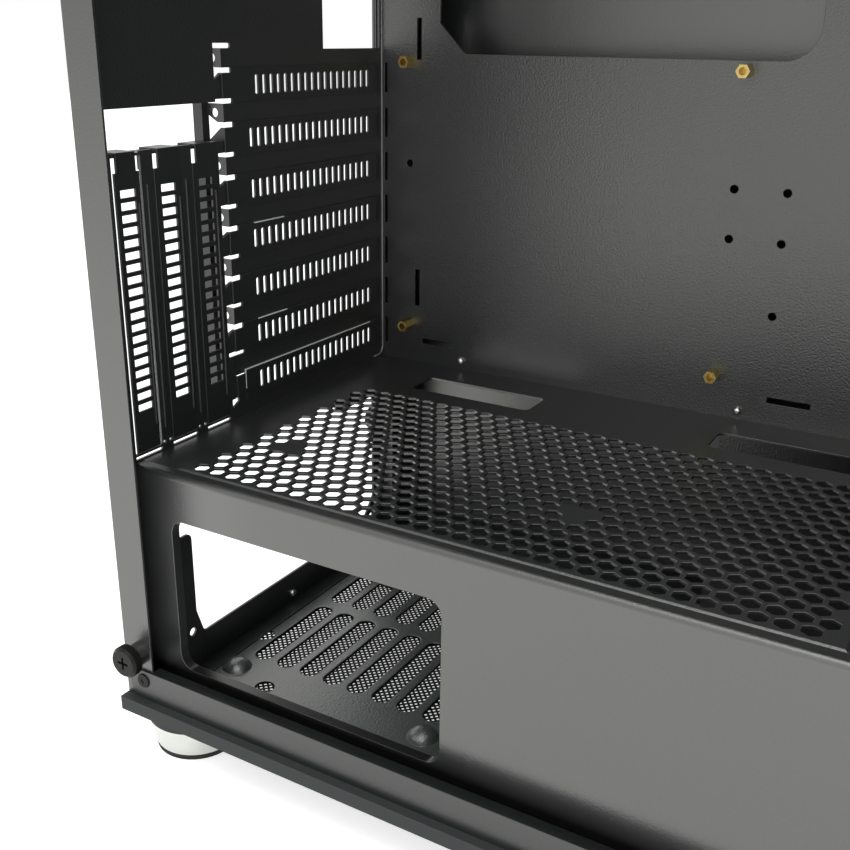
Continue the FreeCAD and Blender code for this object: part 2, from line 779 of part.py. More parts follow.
def standoffs():
    """Brass hexagon standoffs with a stud in the tray and a tapped bore."""
    pieces = []
    for y, z in standoff_places():
        outline = hexagon(y, z, stand_across, lambda a, b: (x_tray - stand_off, a, b))
        body = Part.Face(outline).extrude(V(stand_off, 0, 0))
        stud = rod(stud_radius, sheet, (x_tray, y, z), (1, 0, 0))
        bore = rod(stand_bore, stand_off, (x_tray - stand_off - sheet, y, z), (1, 0, 0))
        pieces.append(body.fuse(stud).cut(bore))
    return Part.makeCompound(pieces)


def shroud_screws():
    """Bright dome-headed screws: two on the tray just above the shroud, one low in the supply bay."""
    pieces = []
    for back in (column_one + 30.3, column_one + columns[1] + 11.7):
        centre = V(x_tray, y_rear - back, z_shroud + board_gap + board_gap)
        ball = Part.makeSphere(2 * sheet, centre)
        pieces.append(ball.common(box(x_tray - 4 * sheet, centre.y - 4 * sheet, centre.z - 4 * sheet,
                                      x_tray, centre.y + 4 * sheet, centre.z + 4 * sheet)))
    bay = V((supply_x0 + supply_x1) / 2, y_rear, z_floor + 5 * sheet)
    ball = Part.makeSphere(2 * sheet, bay)
    pieces.append(ball.common(box(bay.x - 4 * sheet, y_rear - 4 * sheet, bay.z - 4 * sheet,
                                  bay.x + 4 * sheet, y_rear, bay.z + 4 * sheet)))
    return Part.makeCompound(pieces)


# Power-supply shroud

x_lip = x_wall + shroud_lip
hex_rise = hex_pitch * math.sqrt(3) / 2


def hex_centre(row, column):
    """Middle of a hexagon in the shroud's field."""
    x = x_wall + hex_side + row * hex_rise
    y = y_rear - hex_back - (column + 0.5 * (row % 2)) * hex_pitch
    return x, y


def shroud_holes(level):
    """Hexagons of the perforated field, without the bare spots."""
    spots = [(x_wall + bare_side, y_rear - back) for back in bare_back]
    holes = []
    for row in range(hex_rows):
        for column in range(hex_columns):
            x, y = hex_centre(row, column)
            if all(math.hypot(x - sx, y - sy) > bare_radius for sx, sy in spots):
                holes.append(hexagon(x, y, hex_pitch - hex_web, lambda a, b: (a, b, level)))
    return holes


def psu_shroud_top():
    """Shroud top: plain border with cable holes, and the raised perforated field."""
    z0, z1 = z_shroud - sheet, z_shroud
    first, last = hex_centre(0, 0), hex_centre(hex_rows - 1, hex_columns - 1)
    fx0, fx1 = x_lip, last[0] + field_margin
    fy0, fy1 = last[1] - field_margin, first[1] + field_margin
    border = box(x_lip, y_inside + radiator_gap, z0, x_tray, y_rear, z1)
    tools = [box(fx0 - sheet, fy0, z0 - sheet, fx1, fy1, z1 + sheet)]
    for back in cable_hole_back:
        y1 = y_rear - back
        x1 = x_tray - cable_hole_near
        tools.append(rounded_block(x1 - cable_hole_width, y1 - cable_hole_length, z0 - sheet,
                                   x1, y1, z1 + sheet, cable_hole_round, (0, 0, 1)))
    border = cut_all(border, tools)
    gx0, gx1, gy0, gy1 = fx0 + field_slope, fx1 - field_slope, fy0 + field_slope, fy1 - field_slope
    outline = loop([(gx0, gy0, z0 + field_raise), (gx1, gy0, z0 + field_raise),
                    (gx1, gy1, z0 + field_raise), (gx0, gy1, z0 + field_raise)])
    field = pierced(outline, shroud_holes(z0 + field_raise), (0, 0, sheet))

    def ring(low_top, high_top, outer, inner):
        low = loop([(outer[0], outer[2], low_top), (outer[1], outer[2], low_top),
                    (outer[1], outer[3], low_top), (outer[0], outer[3], low_top)])
        high = loop([(inner[0], inner[2], high_top), (inner[1], inner[2], high_top),
                     (inner[1], inner[3], high_top), (inner[0], inner[3], high_top)])
        return Part.makeLoft([low, high], True, True)

    outer = (fx0, fx1, fy0, fy1)
    inner = (gx0, gx1, gy0, gy1)
    slope = ring(z1, z1 + field_raise, outer, inner).fuse(box(fx0, fy0, z0, fx1, fy1, z1))
    slope = slope.cut(ring(z0, z0 + field_raise, outer, inner))
    slope = slope.cut(box(gx0, gy0, z0 - sheet, gx1, gy1, z1 + 2 * sheet))
    return join(border, slope, field)


def psu_shroud_side():
    """Shroud wall with the rounded top fold and the lipped window."""
    y0, y1 = y_inside, y_rear
    outer = rounded_strip(x_wall, x_lip, z_floor, z_shroud, y0, y1, bend_radius)
    inner = rounded_strip(x_wall + sheet, x_lip + sheet, z_floor - sheet, z_shroud - sheet,
                          y0 - sheet, y1 + sheet, bend_radius - sheet)
    body = outer.cut(inner)
    wy1 = y_rear - window_back
    wy0 = wy1 - window_length
    wz1 = z_shroud - window_drop
    wz0 = wz1 - window_height
    hole = rounded_block(x_wall - sheet, wy0, wz0, x_wall + window_lip + sheet, wy1, wz1,
                         window_round, (1, 0, 0))
    collar = rounded_block(x_wall + sheet, wy0 - sheet, wz0 - sheet,
                           x_wall + window_lip, wy1 + sheet, wz1 + sheet, window_round + sheet, (1, 0, 0))
    return join(body, collar).cut(hole)


def rounded_strip(x0, x1, z0, z1, y0, y1, radius):
    """Block along Y whose upper edge at x0 is rounded."""
    block = box(x0, y0, z0, x1, y1, z1)
    edges = [e for e in block.Edges
             if abs(e.CenterOfMass.x - x0) < 0.01 and abs(e.CenterOfMass.z - z1) < 0.01]
    return block.makeFillet(radius, edges)


# Side rails and their rivets

rail_end = rear_recess - flange_lap / 2


def side_rail(x_face, inward, z0, z1, lip_at_top, reach):
    """Rail on a side flange face: a strip with a round rear end and a lip folded inward."""
    high = z1 - z0
    x0, x1 = (x_face - sheet, x_face) if inward > 0 else (x_face, x_face + sheet)
    end = y_rear + rail_end
    strip = box(x0, y_front, z0, x1, end - high / 2, z1)
    cap = rod(high / 2, sheet, (x0, end - high / 2, (z0 + z1) / 2), (1, 0, 0))
    lz0, lz1 = (z1 - sheet, z1) if lip_at_top else (z0, z0 + sheet)
    lx0, lx1 = (x0, x0 + reach) if inward > 0 else (x1 - reach, x1)
    lip = box(lx0, y_flange, lz0, lx1, y_lap, lz1)
    return join(strip, cap, lip)


def rivets():
    """Rivet heads on the open-side rails."""
    rear = y_rear + rail_end - rivet_back
    front = y_front + front_flange / 2
    pieces = []
    for z in (z_rail - rivet_drop, z_cover - rail_height + rivet_drop):
        for y in (rear, front):
            x = x_flange - sheet
            head = Part.makeCone(rivet_radius, rivet_radius - rivet_high / 2, rivet_high,
                                 V(x, y, z), V(-1, 0, 0))
            dip = rod(rivet_radius / 3, rivet_high, (x - rivet_high / 2, y, z), (-1, 0, 0))
            pieces.append(head.cut(dip))
    return Part.makeCompound(pieces)


# Base skirt, top cover, feet

skirt_x0, skirt_x1 = x_flange - skirt_proud, x_right + skirt_proud
bay_x0, bay_x1 = x_flange + skirt_bar, x_right - skirt_bar


def base_skirt():
    """U-shaped base that carries the bottom panel and the feet, open to the rear for the filter."""
    body = box(skirt_x0, y_front, z_skirt, skirt_x1, y_rim, z_ledge)
    seat = box(x_flange, y_front - sheet, z_under, x_right, y_rim + sheet, z_ledge + sheet)
    way = box(bay_x0, y_front + skirt_front, z_skirt - sheet, bay_x1, y_rim + sheet, z_ledge + sheet)
    return body.cut(seat).cut(way)


top_x0, top_x1 = x_flange + top_open_side, x_right - top_open_side
top_y1 = y_rim - top_open_back
top_y0 = top_y1 - top_open_length
io_y = y_front + io_back
io_x = x_flange + io_pitch


def io_place(number):
    """Place of a front connector along its line on the top cover."""
    return io_x + number * io_pitch


def top_cover():
    """Top cover frame with the filter opening and the connector openings."""
    body = box(skirt_x0, y_front, z_cover, skirt_x1, y_rim, z_cover_top)
    tools = [box(top_x0, top_y0, z_cover - sheet, top_x1, top_y1, z_cover_top + sheet)]
    shoulder = z_cover + button_travel + 2 * slip + button_flange_thick
    for place, radius in ((0, button_radius), (1, reset_radius)):
        centre = io_place(place)
        tools.append(rod(radius + slip, 2 * cover_thick, (centre, io_y, z_cover - sheet), (0, 0, 1)))
        tools.append(rod(radius + button_flange + slip, shoulder - z_cover + sheet,
                         (centre, io_y, z_cover - sheet), (0, 0, 1)))
    for place in (2, 3):
        x = io_place(place)
        tools.append(box(x - usb_width / 2, io_y - usb_depth / 2, z_cover - sheet,
                         x + usb_width / 2, io_y + usb_depth / 2, z_cover_top + sheet))
    for place in (4, 5):
        tools.append(rod(jack_radius + running, 2 * cover_thick,
                         (io_place(place), io_y, z_cover - sheet), (0, 0, 1)))
    return cut_all(body, tools)


def push_button(place, radius):
    """Push button held under the cover by its flange."""
    x = io_place(place)
    z0 = z_cover + button_travel + slip
    stem = rod(radius, z_cover_top + button_proud - z0, (x, io_y, z0), (0, 0, 1))
    flange = rod(radius + button_flange, button_flange_thick, (x, io_y, z0), (0, 0, 1))
    return join(stem, flange)


def usb_shells():
    """Steel shells of the two front sockets."""
    pieces = []
    for place in (2, 3):
        x = io_place(place)
        body = box(x - usb_width / 2, io_y - usb_depth / 2, z_cover,
                   x + usb_width / 2, io_y + usb_depth / 2, z_cover_top)
        hollow = box(x - usb_width / 2 + usb_wall, io_y - usb_depth / 2 + usb_wall, z_cover + sheet,
                     x + usb_width / 2 - usb_wall, io_y + usb_depth / 2 - usb_wall, z_cover_top + sheet)
        pieces.append(body.cut(hollow))
    return Part.makeCompound(pieces)


def usb_tongues():
    """Contact tongues standing in the sockets."""
    pieces = []
    for place in (2, 3):
        x = io_place(place)
        half = usb_width / 2 - 2 * usb_wall
        pieces.append(box(x - half, io_y + usb_wall - usb_tongue, z_cover + sheet, x + half, io_y + usb_wall,
                          z_cover_top - sheet))
    return Part.makeCompound(pieces)


def audio_jacks():
    """Sockets for a headset plug and a microphone plug."""
    pieces = []
    for place in (4, 5):
        x = io_place(place)
        body = rod(jack_radius, cover_thick, (x, io_y, z_cover), (0, 0, 1))
        pieces.append(body.cut(rod(jack_bore, cover_thick, (x, io_y, z_cover + sheet), (0, 0, 1))))
    return Part.makeCompound(pieces)


def foot_places():
    """Middles of the four feet."""
    return [(x, y) for x in (x_flange + foot_inset, x_right - foot_inset)
            for y in (y_rim - foot_rear, y_front + foot_front)]


def foot_body(x, y):
    """Foot: broad upper part and a narrower core inside the ring."""
    z0 = foot_pad_thick
    z1 = z0 + foot_ring_height
    return join(rod(foot_core_radius, foot_ring_height, (x, y, z0), (0, 0, 1)),
                rod(foot_radius, foot_body_height, (x, y, z1), (0, 0, 1)))


def foot_ring(x, y):
    """Bright tapered ring round the foot's core."""
    outer = Part.makeCone(foot_radius - foot_taper, foot_radius, foot_ring_height,
                          V(x, y, foot_pad_thick), V(0, 0, 1))
    return outer.cut(rod(foot_core_radius + running, foot_ring_height + 2 * sheet,
                         (x, y, foot_pad_thick - sheet), (0, 0, 1)))


def foot_pad(x, y):
    """Rubber disc under the foot."""
    return rod(foot_radius - foot_taper - slip, foot_pad_thick, (x, y, 0), (0, 0, 1))


# Dust filters

filter_y1 = y_rim - sheet
filter_y0 = filter_y1 - filter_length
filter_z1 = z_under - slip
filter_z0 = filter_z1 - filter_thick


def psu_filter_frame():
    """Filter frame that slides under the bottom panel, with a grip at the rear."""
    x0, x1 = bay_x0 + slip, bay_x1 - slip
    body = box(x0, filter_y0, filter_z0, x1, filter_y1, filter_z1)
    way = box(x0 + filter_border, filter_y0 + filter_border, filter_z0 - sheet,
              x1 - filter_border, filter_y1 - filter_border, filter_z1 + sheet)
    middle = (x0 + x1) / 2
    grip = box(middle - 4 * filter_grip, filter_y1 - 2 * sheet, filter_z0 - filter_grip,
               middle + 4 * filter_grip, filter_y1, filter_z0)
    return join(body.cut(way), grip)


def psu_filter_mesh():
    """Fine mesh stretched in the filter frame."""
    x0, x1 = bay_x0 + slip + filter_border, bay_x1 - slip - filter_border
    middle = (filter_z0 + filter_z1) / 2
    return box(x0, filter_y0 + filter_border, middle - filter_mesh_thick / 2,
               x1, filter_y1 - filter_border, middle + filter_mesh_thick / 2)


def filter_runners():
    """Runner strips under the skirt that hold up the filter's long edges."""
    z1 = filter_z0 - slip
    y1 = y_rim - foot_rear - foot_radius - sheet
    pieces = []
    for x_edge, out in ((bay_x0, -1), (bay_x1, 1)):
        xs = sorted((x_edge + out * runner_seat, x_edge))
        block = box(xs[0], filter_y0, z_skirt - runner_thick, xs[1], y1, z_skirt)
        inner = sorted((x_edge, x_edge - out * runner_reach))
        shelf = box(inner[0], filter_y0, z1 - runner_thick, inner[1], y1, z1)
        pieces.append(join(block, shelf))
    return Part.makeCompound(pieces)


def top_filter_frame():
    """Lift-off dust filter in the top cover's opening."""
    x0, x1, y0, y1 = top_x0 + slip, top_x1 - slip, top_y0 + slip, top_y1 - slip
    body = box(x0, y0, z_cover, x1, y1, z_cover + top_filter_thick)
    way = box(x0 + filter_border, y0 + filter_border, z_cover - sheet,
              x1 - filter_border, y1 - filter_border, z_cover + 2 * top_filter_thick)
    return body.cut(way)


def top_filter_mesh():
    """Mesh of the top filter."""
    edge = slip + filter_border
    z = z_cover + top_filter_thick / 2
    return box(top_x0 + edge, top_y0 + edge, z - filter_mesh_thick / 2,
               top_x1 - edge, top_y1 - edge, z + filter_mesh_thick / 2)


# Front bezel, right panel, drive cage

def front_bezel():
    """Front bezel: a shell with side vents, held by pegs in the front frame."""
    y0 = y_front - bezel_depth
    body = box(skirt_x0, y0, z_skirt, skirt_x1, y_front - slip, z_cover_top)
    edges = [e for e in body.Edges if abs(e.CenterOfMass.y - y0) < 0.01]
    body = body.makeFillet(bezel_wall, edges)
    hollow = box(skirt_x0 + bezel_wall, y0 + bezel_wall, z_skirt + bezel_wall,
                 skirt_x1 - bezel_wall, y_front, z_cover_top - bezel_wall)
    tools = []
    depth = bezel_depth - 4 * bezel_wall
    pitch = 4 * bezel_wall
    count = int((z_cover_top - z_skirt - 8 * bezel_wall) / pitch)
    for k in range(count):
        z = z_skirt + 4 * bezel_wall + k * pitch
        tools.append(box(skirt_x0 - sheet, y0 + 2 * bezel_wall, z, skirt_x1 + sheet,
                         y0 + 2 * bezel_wall + depth, z + pitch / 2))
    body = cut_all(body.cut(hollow), tools)
    pegs = [rod(peg_radius, bezel_depth - bezel_wall + peg_length, (x, y0 + bezel_wall, z), (0, 1, 0))
            for x, z in peg_places()]
    return join(body, *pegs)


side_screw_x = x_right - panel_lip / 2


def side_screw_heights():
    """Heights of the right panel's screws."""
    return (z_ledge + side_screw_end, z_cover - side_screw_end)


def right_side_panel():
    """Right side panel with a rear lip over the rim and a pressed field."""
    x0 = x_right + sheet + slip
    x1 = x0 + sheet
    y0, y1 = y_front + sheet, y_rim + slip + sheet
    z0, z1 = z_ledge + slip, z_cover - slip
    plate = box(x0, y0, z0, x1, y1, z1)
    lip = box(x_right - panel_lip, y_rim + slip, z0, x0, y1, z1)
    for z in side_screw_heights():
        lip = lip.cut(rod(shank_radius + running, 4 * sheet, (side_screw_x, y_rim - sheet, z), (0, 1, 0)))
    return join(plate, lip)


def right_thumbscrew(number):
    """Captive screw of the right side panel."""
    z = side_screw_heights()[number]
    y0 = y_rim + slip + sheet
    head = rod(side_head_radius, side_head_length, (side_screw_x, y0, z), (0, 1, 0))
    shank = rod(shank_radius, side_shank, (side_screw_x, y0 - side_shank, z), (0, 1, 0))
    return join(head, shank)


def drive_cage():
    """Two-bay drive cage folded from sheet, standing on the bottom panel behind the front frame."""
    x0 = x_wall + cage_side
    x1 = x0 + cage_width
    y0 = y_inside + cage_front
    y1 = y0 + cage_length
    z1 = z_floor + 2 * cage_bay + 3 * sheet
    body = box(x0, y0, z_floor, x1, y1, z1)
    bays = [box(x0 + sheet, y0 - sheet, z_floor + sheet + k * (cage_bay + sheet),
                x1 - sheet, y1 + sheet, z_floor + (k + 1) * (cage_bay + sheet)) for k in range(2)]
    return cut_all(body, bays)


# Posts and thumbscrews of the open side

def post_places():
    """Places of the posts on the open-side flanges."""
    rear = y_rear
    front = y_front + front_flange / 2
    return [(y, z) for y in (rear, front) for z in (z_floor + post_low, z_top - post_high)]


def panel_posts():
    """Posts that carry the left panel's thumbscrews."""
    pieces = []
    for y, z in post_places():
        post = rod(post_radius, post_length, (x_flange - post_length, y, z), (1, 0, 0))
        pieces.append(post.cut(rod(shank_radius + running, post_length + sheet,
                                   (x_flange - post_length - sheet, y, z), (1, 0, 0))))
    return Part.makeCompound(pieces)


def left_thumbscrew(number):
    """Knurled thumbscrew with a cross recess, in its post."""
    y, z = post_places()[number]
    x1 = x_flange - post_length - head_gap
    x0 = x1 - head_length
    turns = [math.pi * k / knurl_count for k in range(2 * knurl_count)]
    radii = (head_radius, head_radius - knurl_depth)
    rim = loop([(x0 + sheet, y + radii[k % 2] * math.cos(t), z + radii[k % 2] * math.sin(t))
                for k, t in enumerate(turns)])
    head = Part.Face(rim).extrude(V(x1 - x0 - sheet, 0, 0))
    face = Part.makeCone(head_radius - sheet, head_radius - knurl_depth, sheet, V(x0, y, z), V(1, 0, 0))
    shank = rod(shank_radius, post_length - sheet, (x1, y, z), (1, 0, 0))
    cross = [box(x0 - sheet, y - a / 2, z - b / 2, x0 + cross_depth, y + a / 2, z + b / 2)
             for a, b in ((cross_length, cross_width), (cross_width, cross_length))]
    return cut_all(join(head, face, shank), cross)


# The pieces by name

pieces = {
    **rear_panels(),
    "bottom_panel": bottom_panel(),
    "top_panel": top_panel(),
    "front_frame": front_frame(),
    "motherboard_tray": motherboard_tray(),
    "psu_shroud_top": psu_shroud_top(),
    "psu_shroud_side": psu_shroud_side(),
    "lower_left_rail": side_rail(x_flange, 1, z_ledge, z_rail, True, sheet + wall_inset),
    "upper_left_rail": side_rail(x_flange, 1, z_cover - rail_height, z_cover, False, sheet + wall_inset),
    "lower_right_rail": side_rail(x_right, -1, z_ledge, z_rail, True, sheet + wall_inset),
    "upper_right_rail": side_rail(x_right, -1, z_cover - rail_height, z_cover, False, sheet + wall_inset),
    "slot_guard": slot_guard(),
    "upright_shelf": upright_shelf(),
    "drive_cage": drive_cage(),
    "base_skirt": base_skirt(),
    "top_cover": top_cover(),
    "front_bezel": front_bezel(),
    "right_side_panel": right_side_panel(),
    "standoffs": standoffs(),
    "shroud_screws": shroud_screws(),
    "rivets": rivets(),
    "panel_posts": panel_posts(),
    "psu_filter_frame": psu_filter_frame(),
    "psu_filter_mesh": psu_filter_mesh(),
    "filter_runners": filter_runners(),
    "top_filter_frame": top_filter_frame(),
    "top_filter_mesh": top_filter_mesh(),
    "power_button": push_button(0, button_radius),
    "reset_button": push_button(1, reset_radius),
    "usb_shells": usb_shells(),
    "usb_tongues": usb_tongues(),
    "audio_jacks": audio_jacks(),
}
for n in range(slot_count):
    pieces["slot_cover_%d" % (n + 1)] = slot_cover(n)
for n in range(upright_count):
    pieces["upright_slot_cover_%d" % (n + 1)] = upright_cover(n)
for n in range(4):
    pieces["left_thumbscrew_%d" % (n + 1)] = left_thumbscrew(n)
for n in range(2):
    pieces["right_thumbscrew_%d" % (n + 1)] = right_thumbscrew(n)
for n, (foot_x, foot_y) in enumerate(foot_places()):
    pieces["foot_body_%d" % (n + 1)] = foot_body(foot_x, foot_y)
pieces["foot_rings"] = Part.makeCompound([foot_ring(x, y) for x, y in foot_places()])
pieces["foot_pads"] = Part.makeCompound([foot_pad(x, y) for x, y in foot_places()])

os.makedirs("parts", exist_ok=True)
for name, shape in pieces.items():
    shape.exportStep("parts/%s.step" % name)
    print(name, len(shape.Solids), "solids", round(shape.Volume, 1), "mm3", shape.isValid())
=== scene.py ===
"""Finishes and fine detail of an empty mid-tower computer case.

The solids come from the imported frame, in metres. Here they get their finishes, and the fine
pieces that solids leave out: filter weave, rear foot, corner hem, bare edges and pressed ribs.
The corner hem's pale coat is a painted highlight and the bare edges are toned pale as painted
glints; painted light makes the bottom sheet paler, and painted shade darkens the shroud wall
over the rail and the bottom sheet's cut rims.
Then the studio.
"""
import math

import bmesh
import bpy
from bpy.props import FloatProperty, FloatVectorProperty, PointerProperty
from mathutils import Matrix, Vector


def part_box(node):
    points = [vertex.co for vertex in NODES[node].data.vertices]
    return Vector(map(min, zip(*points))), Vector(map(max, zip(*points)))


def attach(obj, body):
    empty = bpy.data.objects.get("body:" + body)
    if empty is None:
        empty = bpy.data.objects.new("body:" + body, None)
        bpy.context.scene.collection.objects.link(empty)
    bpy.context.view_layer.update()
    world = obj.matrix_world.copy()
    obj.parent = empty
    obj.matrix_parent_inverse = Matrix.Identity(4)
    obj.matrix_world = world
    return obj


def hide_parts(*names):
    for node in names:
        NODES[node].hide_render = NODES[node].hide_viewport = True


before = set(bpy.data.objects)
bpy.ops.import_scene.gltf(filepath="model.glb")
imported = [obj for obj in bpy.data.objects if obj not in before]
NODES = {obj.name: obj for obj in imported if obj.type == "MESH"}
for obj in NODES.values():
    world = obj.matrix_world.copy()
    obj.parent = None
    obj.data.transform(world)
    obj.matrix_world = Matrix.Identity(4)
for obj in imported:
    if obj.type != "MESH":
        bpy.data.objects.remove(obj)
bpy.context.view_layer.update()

bl_info = {
    "name": "Mid-tower case dressing",
    "version": (1, 0, 0),
    "blender": (4, 5, 0),
    "location": "View3D > Sidebar > Case",
    "description": "Finishes and fine detail of an empty mid-tower computer case",
    "category": "Object",
}

CHASSIS = "chassis"

# Corner where the tray meets the rear panel, at the first slot's height
CORNER = Vector((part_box("motherboard_tray")[0].x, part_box("motherboard_tray")[1].y,
                 (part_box("slot_cover_1")[0].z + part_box("slot_cover_1")[1].z) / 2))

# Shroud wall: how far before its rear edge and above the lower rail it starts to fall in, and how
# deep, and the heights above the rail between which painted shade darkens it
WALL_REAR_START = 0.062
WALL_REAR_DEPTH = 0.0178
WALL_LOW_START = 0.022
WALL_LOW_DEPTH = 0.0085
WALL_SHADE_START = 0.011
WALL_SHADE_END = 0.003

# Bottom sheet: heights above its lower face between which painted shade darkens its cut rims
RIM_SHADE_START = 0.00098
RIM_SHADE_END = 0.0007

# Bare steel on the slot covers' upper edges, toned pale as painted glints: the cover's number, where
# the steel starts along the plate, how long it is, and how far it runs down the plate's end
BARE_GLINT_COVERS = ((4, 0.010, 0.020, 0.0), (6, 0.010, 0.020, 0.0), (7, 0.0, 0.096, 0.0085))
BARE_PROUD = 1 / 6  # of the bare steel's width

# Ribs by the upright slots: how far they end from the cover's lower and upper ends
COVER_RIB_ENDS = (0.009, 0.018)
PANEL_RIB_ENDS = (0.006, 0.012)
COVER_RIB_SHARE = 0.4  # of the panel ribs' width
RIB_ROUNDING = 0.8  # of a rib's height

HEM_SIDES = 12
HEM_STEPS = 8
THREAD_TURN = math.radians(45)

# Finish values shared by all materials
GLOSS_TINT = (1.0, 1.0, 0.97, 1)
GRAIN_DEPTH = 0.0002
# Darkness of painted shade, as a share of the powder coat
PAINTED_SHADE_TONE = 0.4

# Studio: reach of the floor, its colour and glow, and the point that the softboxes face
FLOOR_REACH = 4.0
FLOOR_COLOUR = (0.86, 0.86, 0.86, 1)
FLOOR_GLOW = 0.62
WHITE = (1, 1, 1, 1)
LIT_POINT = Vector((0.0, 0.0, 0.2))
SENSOR_WIDTH = 36.0
NEAREST_SEEN = 0.01


def named(*stems):
    """Solids whose names start with one of the stems."""
    return [o for name, o in sorted(NODES.items()) if name.startswith(stems)]


def once(items):
    """Items in their order, each one time."""
    return list(dict.fromkeys(items))


# Properties

class CaseFinish(bpy.types.PropertyGroup):
    """Colours and surface values of the case."""
    coat: FloatVectorProperty(
        name="Powder coat", description="Satin black of the sheet steel",
        subtype="COLOR", size=3, min=0, max=1, default=(0.0100, 0.0124, 0.0118))
    coat_light: FloatVectorProperty(
        name="Coat, thin", description="Powder coat where it lies thin",
        subtype="COLOR", size=3, min=0, max=1, default=(0.0180, 0.0202, 0.0192))
    plastic: FloatVectorProperty(
        name="Plastic", description="Black of the base, top and front",
        subtype="COLOR", size=3, min=0, max=1, default=(0.0100, 0.0108, 0.0115))
    plastic_light: FloatVectorProperty(
        name="Plastic, worn", description="Plastic where it has been handled",
        subtype="COLOR", size=3, min=0, max=1, default=(0.0170, 0.0180, 0.0190))
    brass: FloatVectorProperty(
        name="Brass", description="Standoffs",
        subtype="COLOR", size=3, min=0, max=1, default=(0.50, 0.37, 0.13))
    plating: FloatVectorProperty(
        name="Plating", description="Bright rings of the feet",
        subtype="COLOR", size=3, min=0, max=1, default=(0.56, 0.58, 0.545))
    zinc: FloatVectorProperty(
        name="Zinc", description="Bright small screws and sockets",
        subtype="COLOR", size=3, min=0, max=1, default=(0.66, 0.66, 0.64))
    oxide: FloatVectorProperty(
        name="Black oxide", description="Thumbscrews and rail rivets",
        subtype="COLOR", size=3, min=0, max=1, default=(0.008, 0.008, 0.0075))
    # Also toned pale for the painted highlight on the corner hem and the painted glints on cover edges
    bare: FloatVectorProperty(
        name="Bare edge", description="Steel where the coat is thin on a cut edge",
        subtype="COLOR", size=3, min=0, max=1, default=(0.30, 0.31, 0.30))
    rubber: FloatVectorProperty(
        name="Rubber", description="Pads under the feet",
        subtype="COLOR", size=3, min=0, max=1, default=(0.008, 0.008, 0.008))
    grain: FloatProperty(
        name="Coat grain", description="Grains of powder coat per metre",
        min=100, max=5000, default=1200)
    wear: FloatProperty(
        name="Edge wear", description="Share of the cut edges that show steel",
        subtype="FACTOR", min=0, max=1, default=0.5)
    edge: FloatProperty(
        name="Soft edge", description="Rounding that light finds on cut edges",
        subtype="DISTANCE", unit="LENGTH", min=0, max=0.002, default=0.0004)


class CaseDetail(bpy.types.PropertyGroup):
    """Sizes of the fine pieces."""
    weave_pitch: FloatProperty(
        name="Weave pitch", description="Thread to thread in the filters",
        unit="LENGTH", min=0.001, max=0.005, default=0.00205)
    weave_thread: FloatProperty(
        name="Thread", description="Thread width in the filters",
        unit="LENGTH", min=0.0002, max=0.002, default=0.00095)
    seam_depth: FloatProperty(
        name="Seam", description="Depth of the rear sheet's foot on the bottom sheet",
        unit="LENGTH", min=0.002, max=0.02, default=0.008)
    seam_thick: FloatProperty(
        name="Seam thickness", description="Thickness of the rear sheet's foot",
        unit="LENGTH", min=0.0002, max=0.002, default=0.0007)
    hem: FloatProperty(
        name="Corner hem", description="Radius of the hem between rear sheet and tray",
        unit="LENGTH", min=0.0003, max=0.002, default=0.0005)
    hem_turn: FloatProperty(
        name="Hem turn", description="Radius in which the hem turns off over the shroud",
        unit="LENGTH", min=0.001, max=0.02, default=0.004)
    # Width of the pale strips: bare steel with painted glints
    bare_glint_width: FloatProperty(
        name="Bare edge width", description="Width of bare steel on a cover's edge",
        unit="LENGTH", min=0.0001, max=0.001, default=0.0004)
    cover_neck: FloatProperty(
        name="Cover neck", description="Neck and tab of a slot cover, up to its plate",
        unit="LENGTH", min=0, max=0.02, default=0.0054)
    rib_width: FloatProperty(
        name="Rib width", description="Width of the pressed ribs between upright slots",
        unit="LENGTH", min=0.0005, max=0.006, default=0.0026)
    rib_height: FloatProperty(
        name="Rib height", description="Height of the pressed ribs",
        unit="LENGTH", min=0.0002, max=0.002, default=0.0006)


class CaseStage(bpy.types.PropertyGroup):
    """Camera and studio light."""
    eye: FloatVectorProperty(
        name="Camera", description="Camera from the tray's rear corner at the first slot",
        subtype="TRANSLATION", unit="LENGTH", size=3, default=(-0.44297, -0.28713, 0.02012))
    turn: FloatVectorProperty(
        name="Camera turn", description="Camera rotation", subtype="EULER", size=3,
        default=(math.radians(69.773), math.radians(-0.618), math.radians(-59.243)))
    lens: FloatProperty(
        name="Lens", description="Focal length on a 36 mm sensor",
        min=10, max=200, default=45.12)
    fill: FloatProperty(
        name="Surrounding light", description="Strength of the white surroundings",
        min=0, max=4, default=0.9)
    key: FloatProperty(
        name="Softbox", description="Power of the large softbox over the open side",
        subtype="POWER", min=0, max=500, default=3)
    top: FloatProperty(
        name="Overhead", description="Power of the overhead softbox",
        subtype="POWER", min=0, max=500, default=12)


# Shader groups

def add_node(nodes, kind, values=None, **settings):
    """New shader node with its settings and then its inputs' values."""
    node = nodes.new("ShaderNode" + kind)
    for key, value in settings.items():
        setattr(node, key, value)
    for socket, value in (values or {}).items():
        node.inputs[socket].default_value = value
    return node


def new_group(name, inputs, outputs):
    """Empty shader node group with named sockets."""
    group = bpy.data.node_groups.new(name, "ShaderNodeTree")
    for way, sockets in (("INPUT", inputs), ("OUTPUT", outputs)):
        for label, kind in sockets.items():
            group.interface.new_socket(name=label, in_out=way, socket_type="NodeSocket" + kind)
    return group, group.nodes.new("NodeGroupInput"), group.nodes.new("NodeGroupOutput")


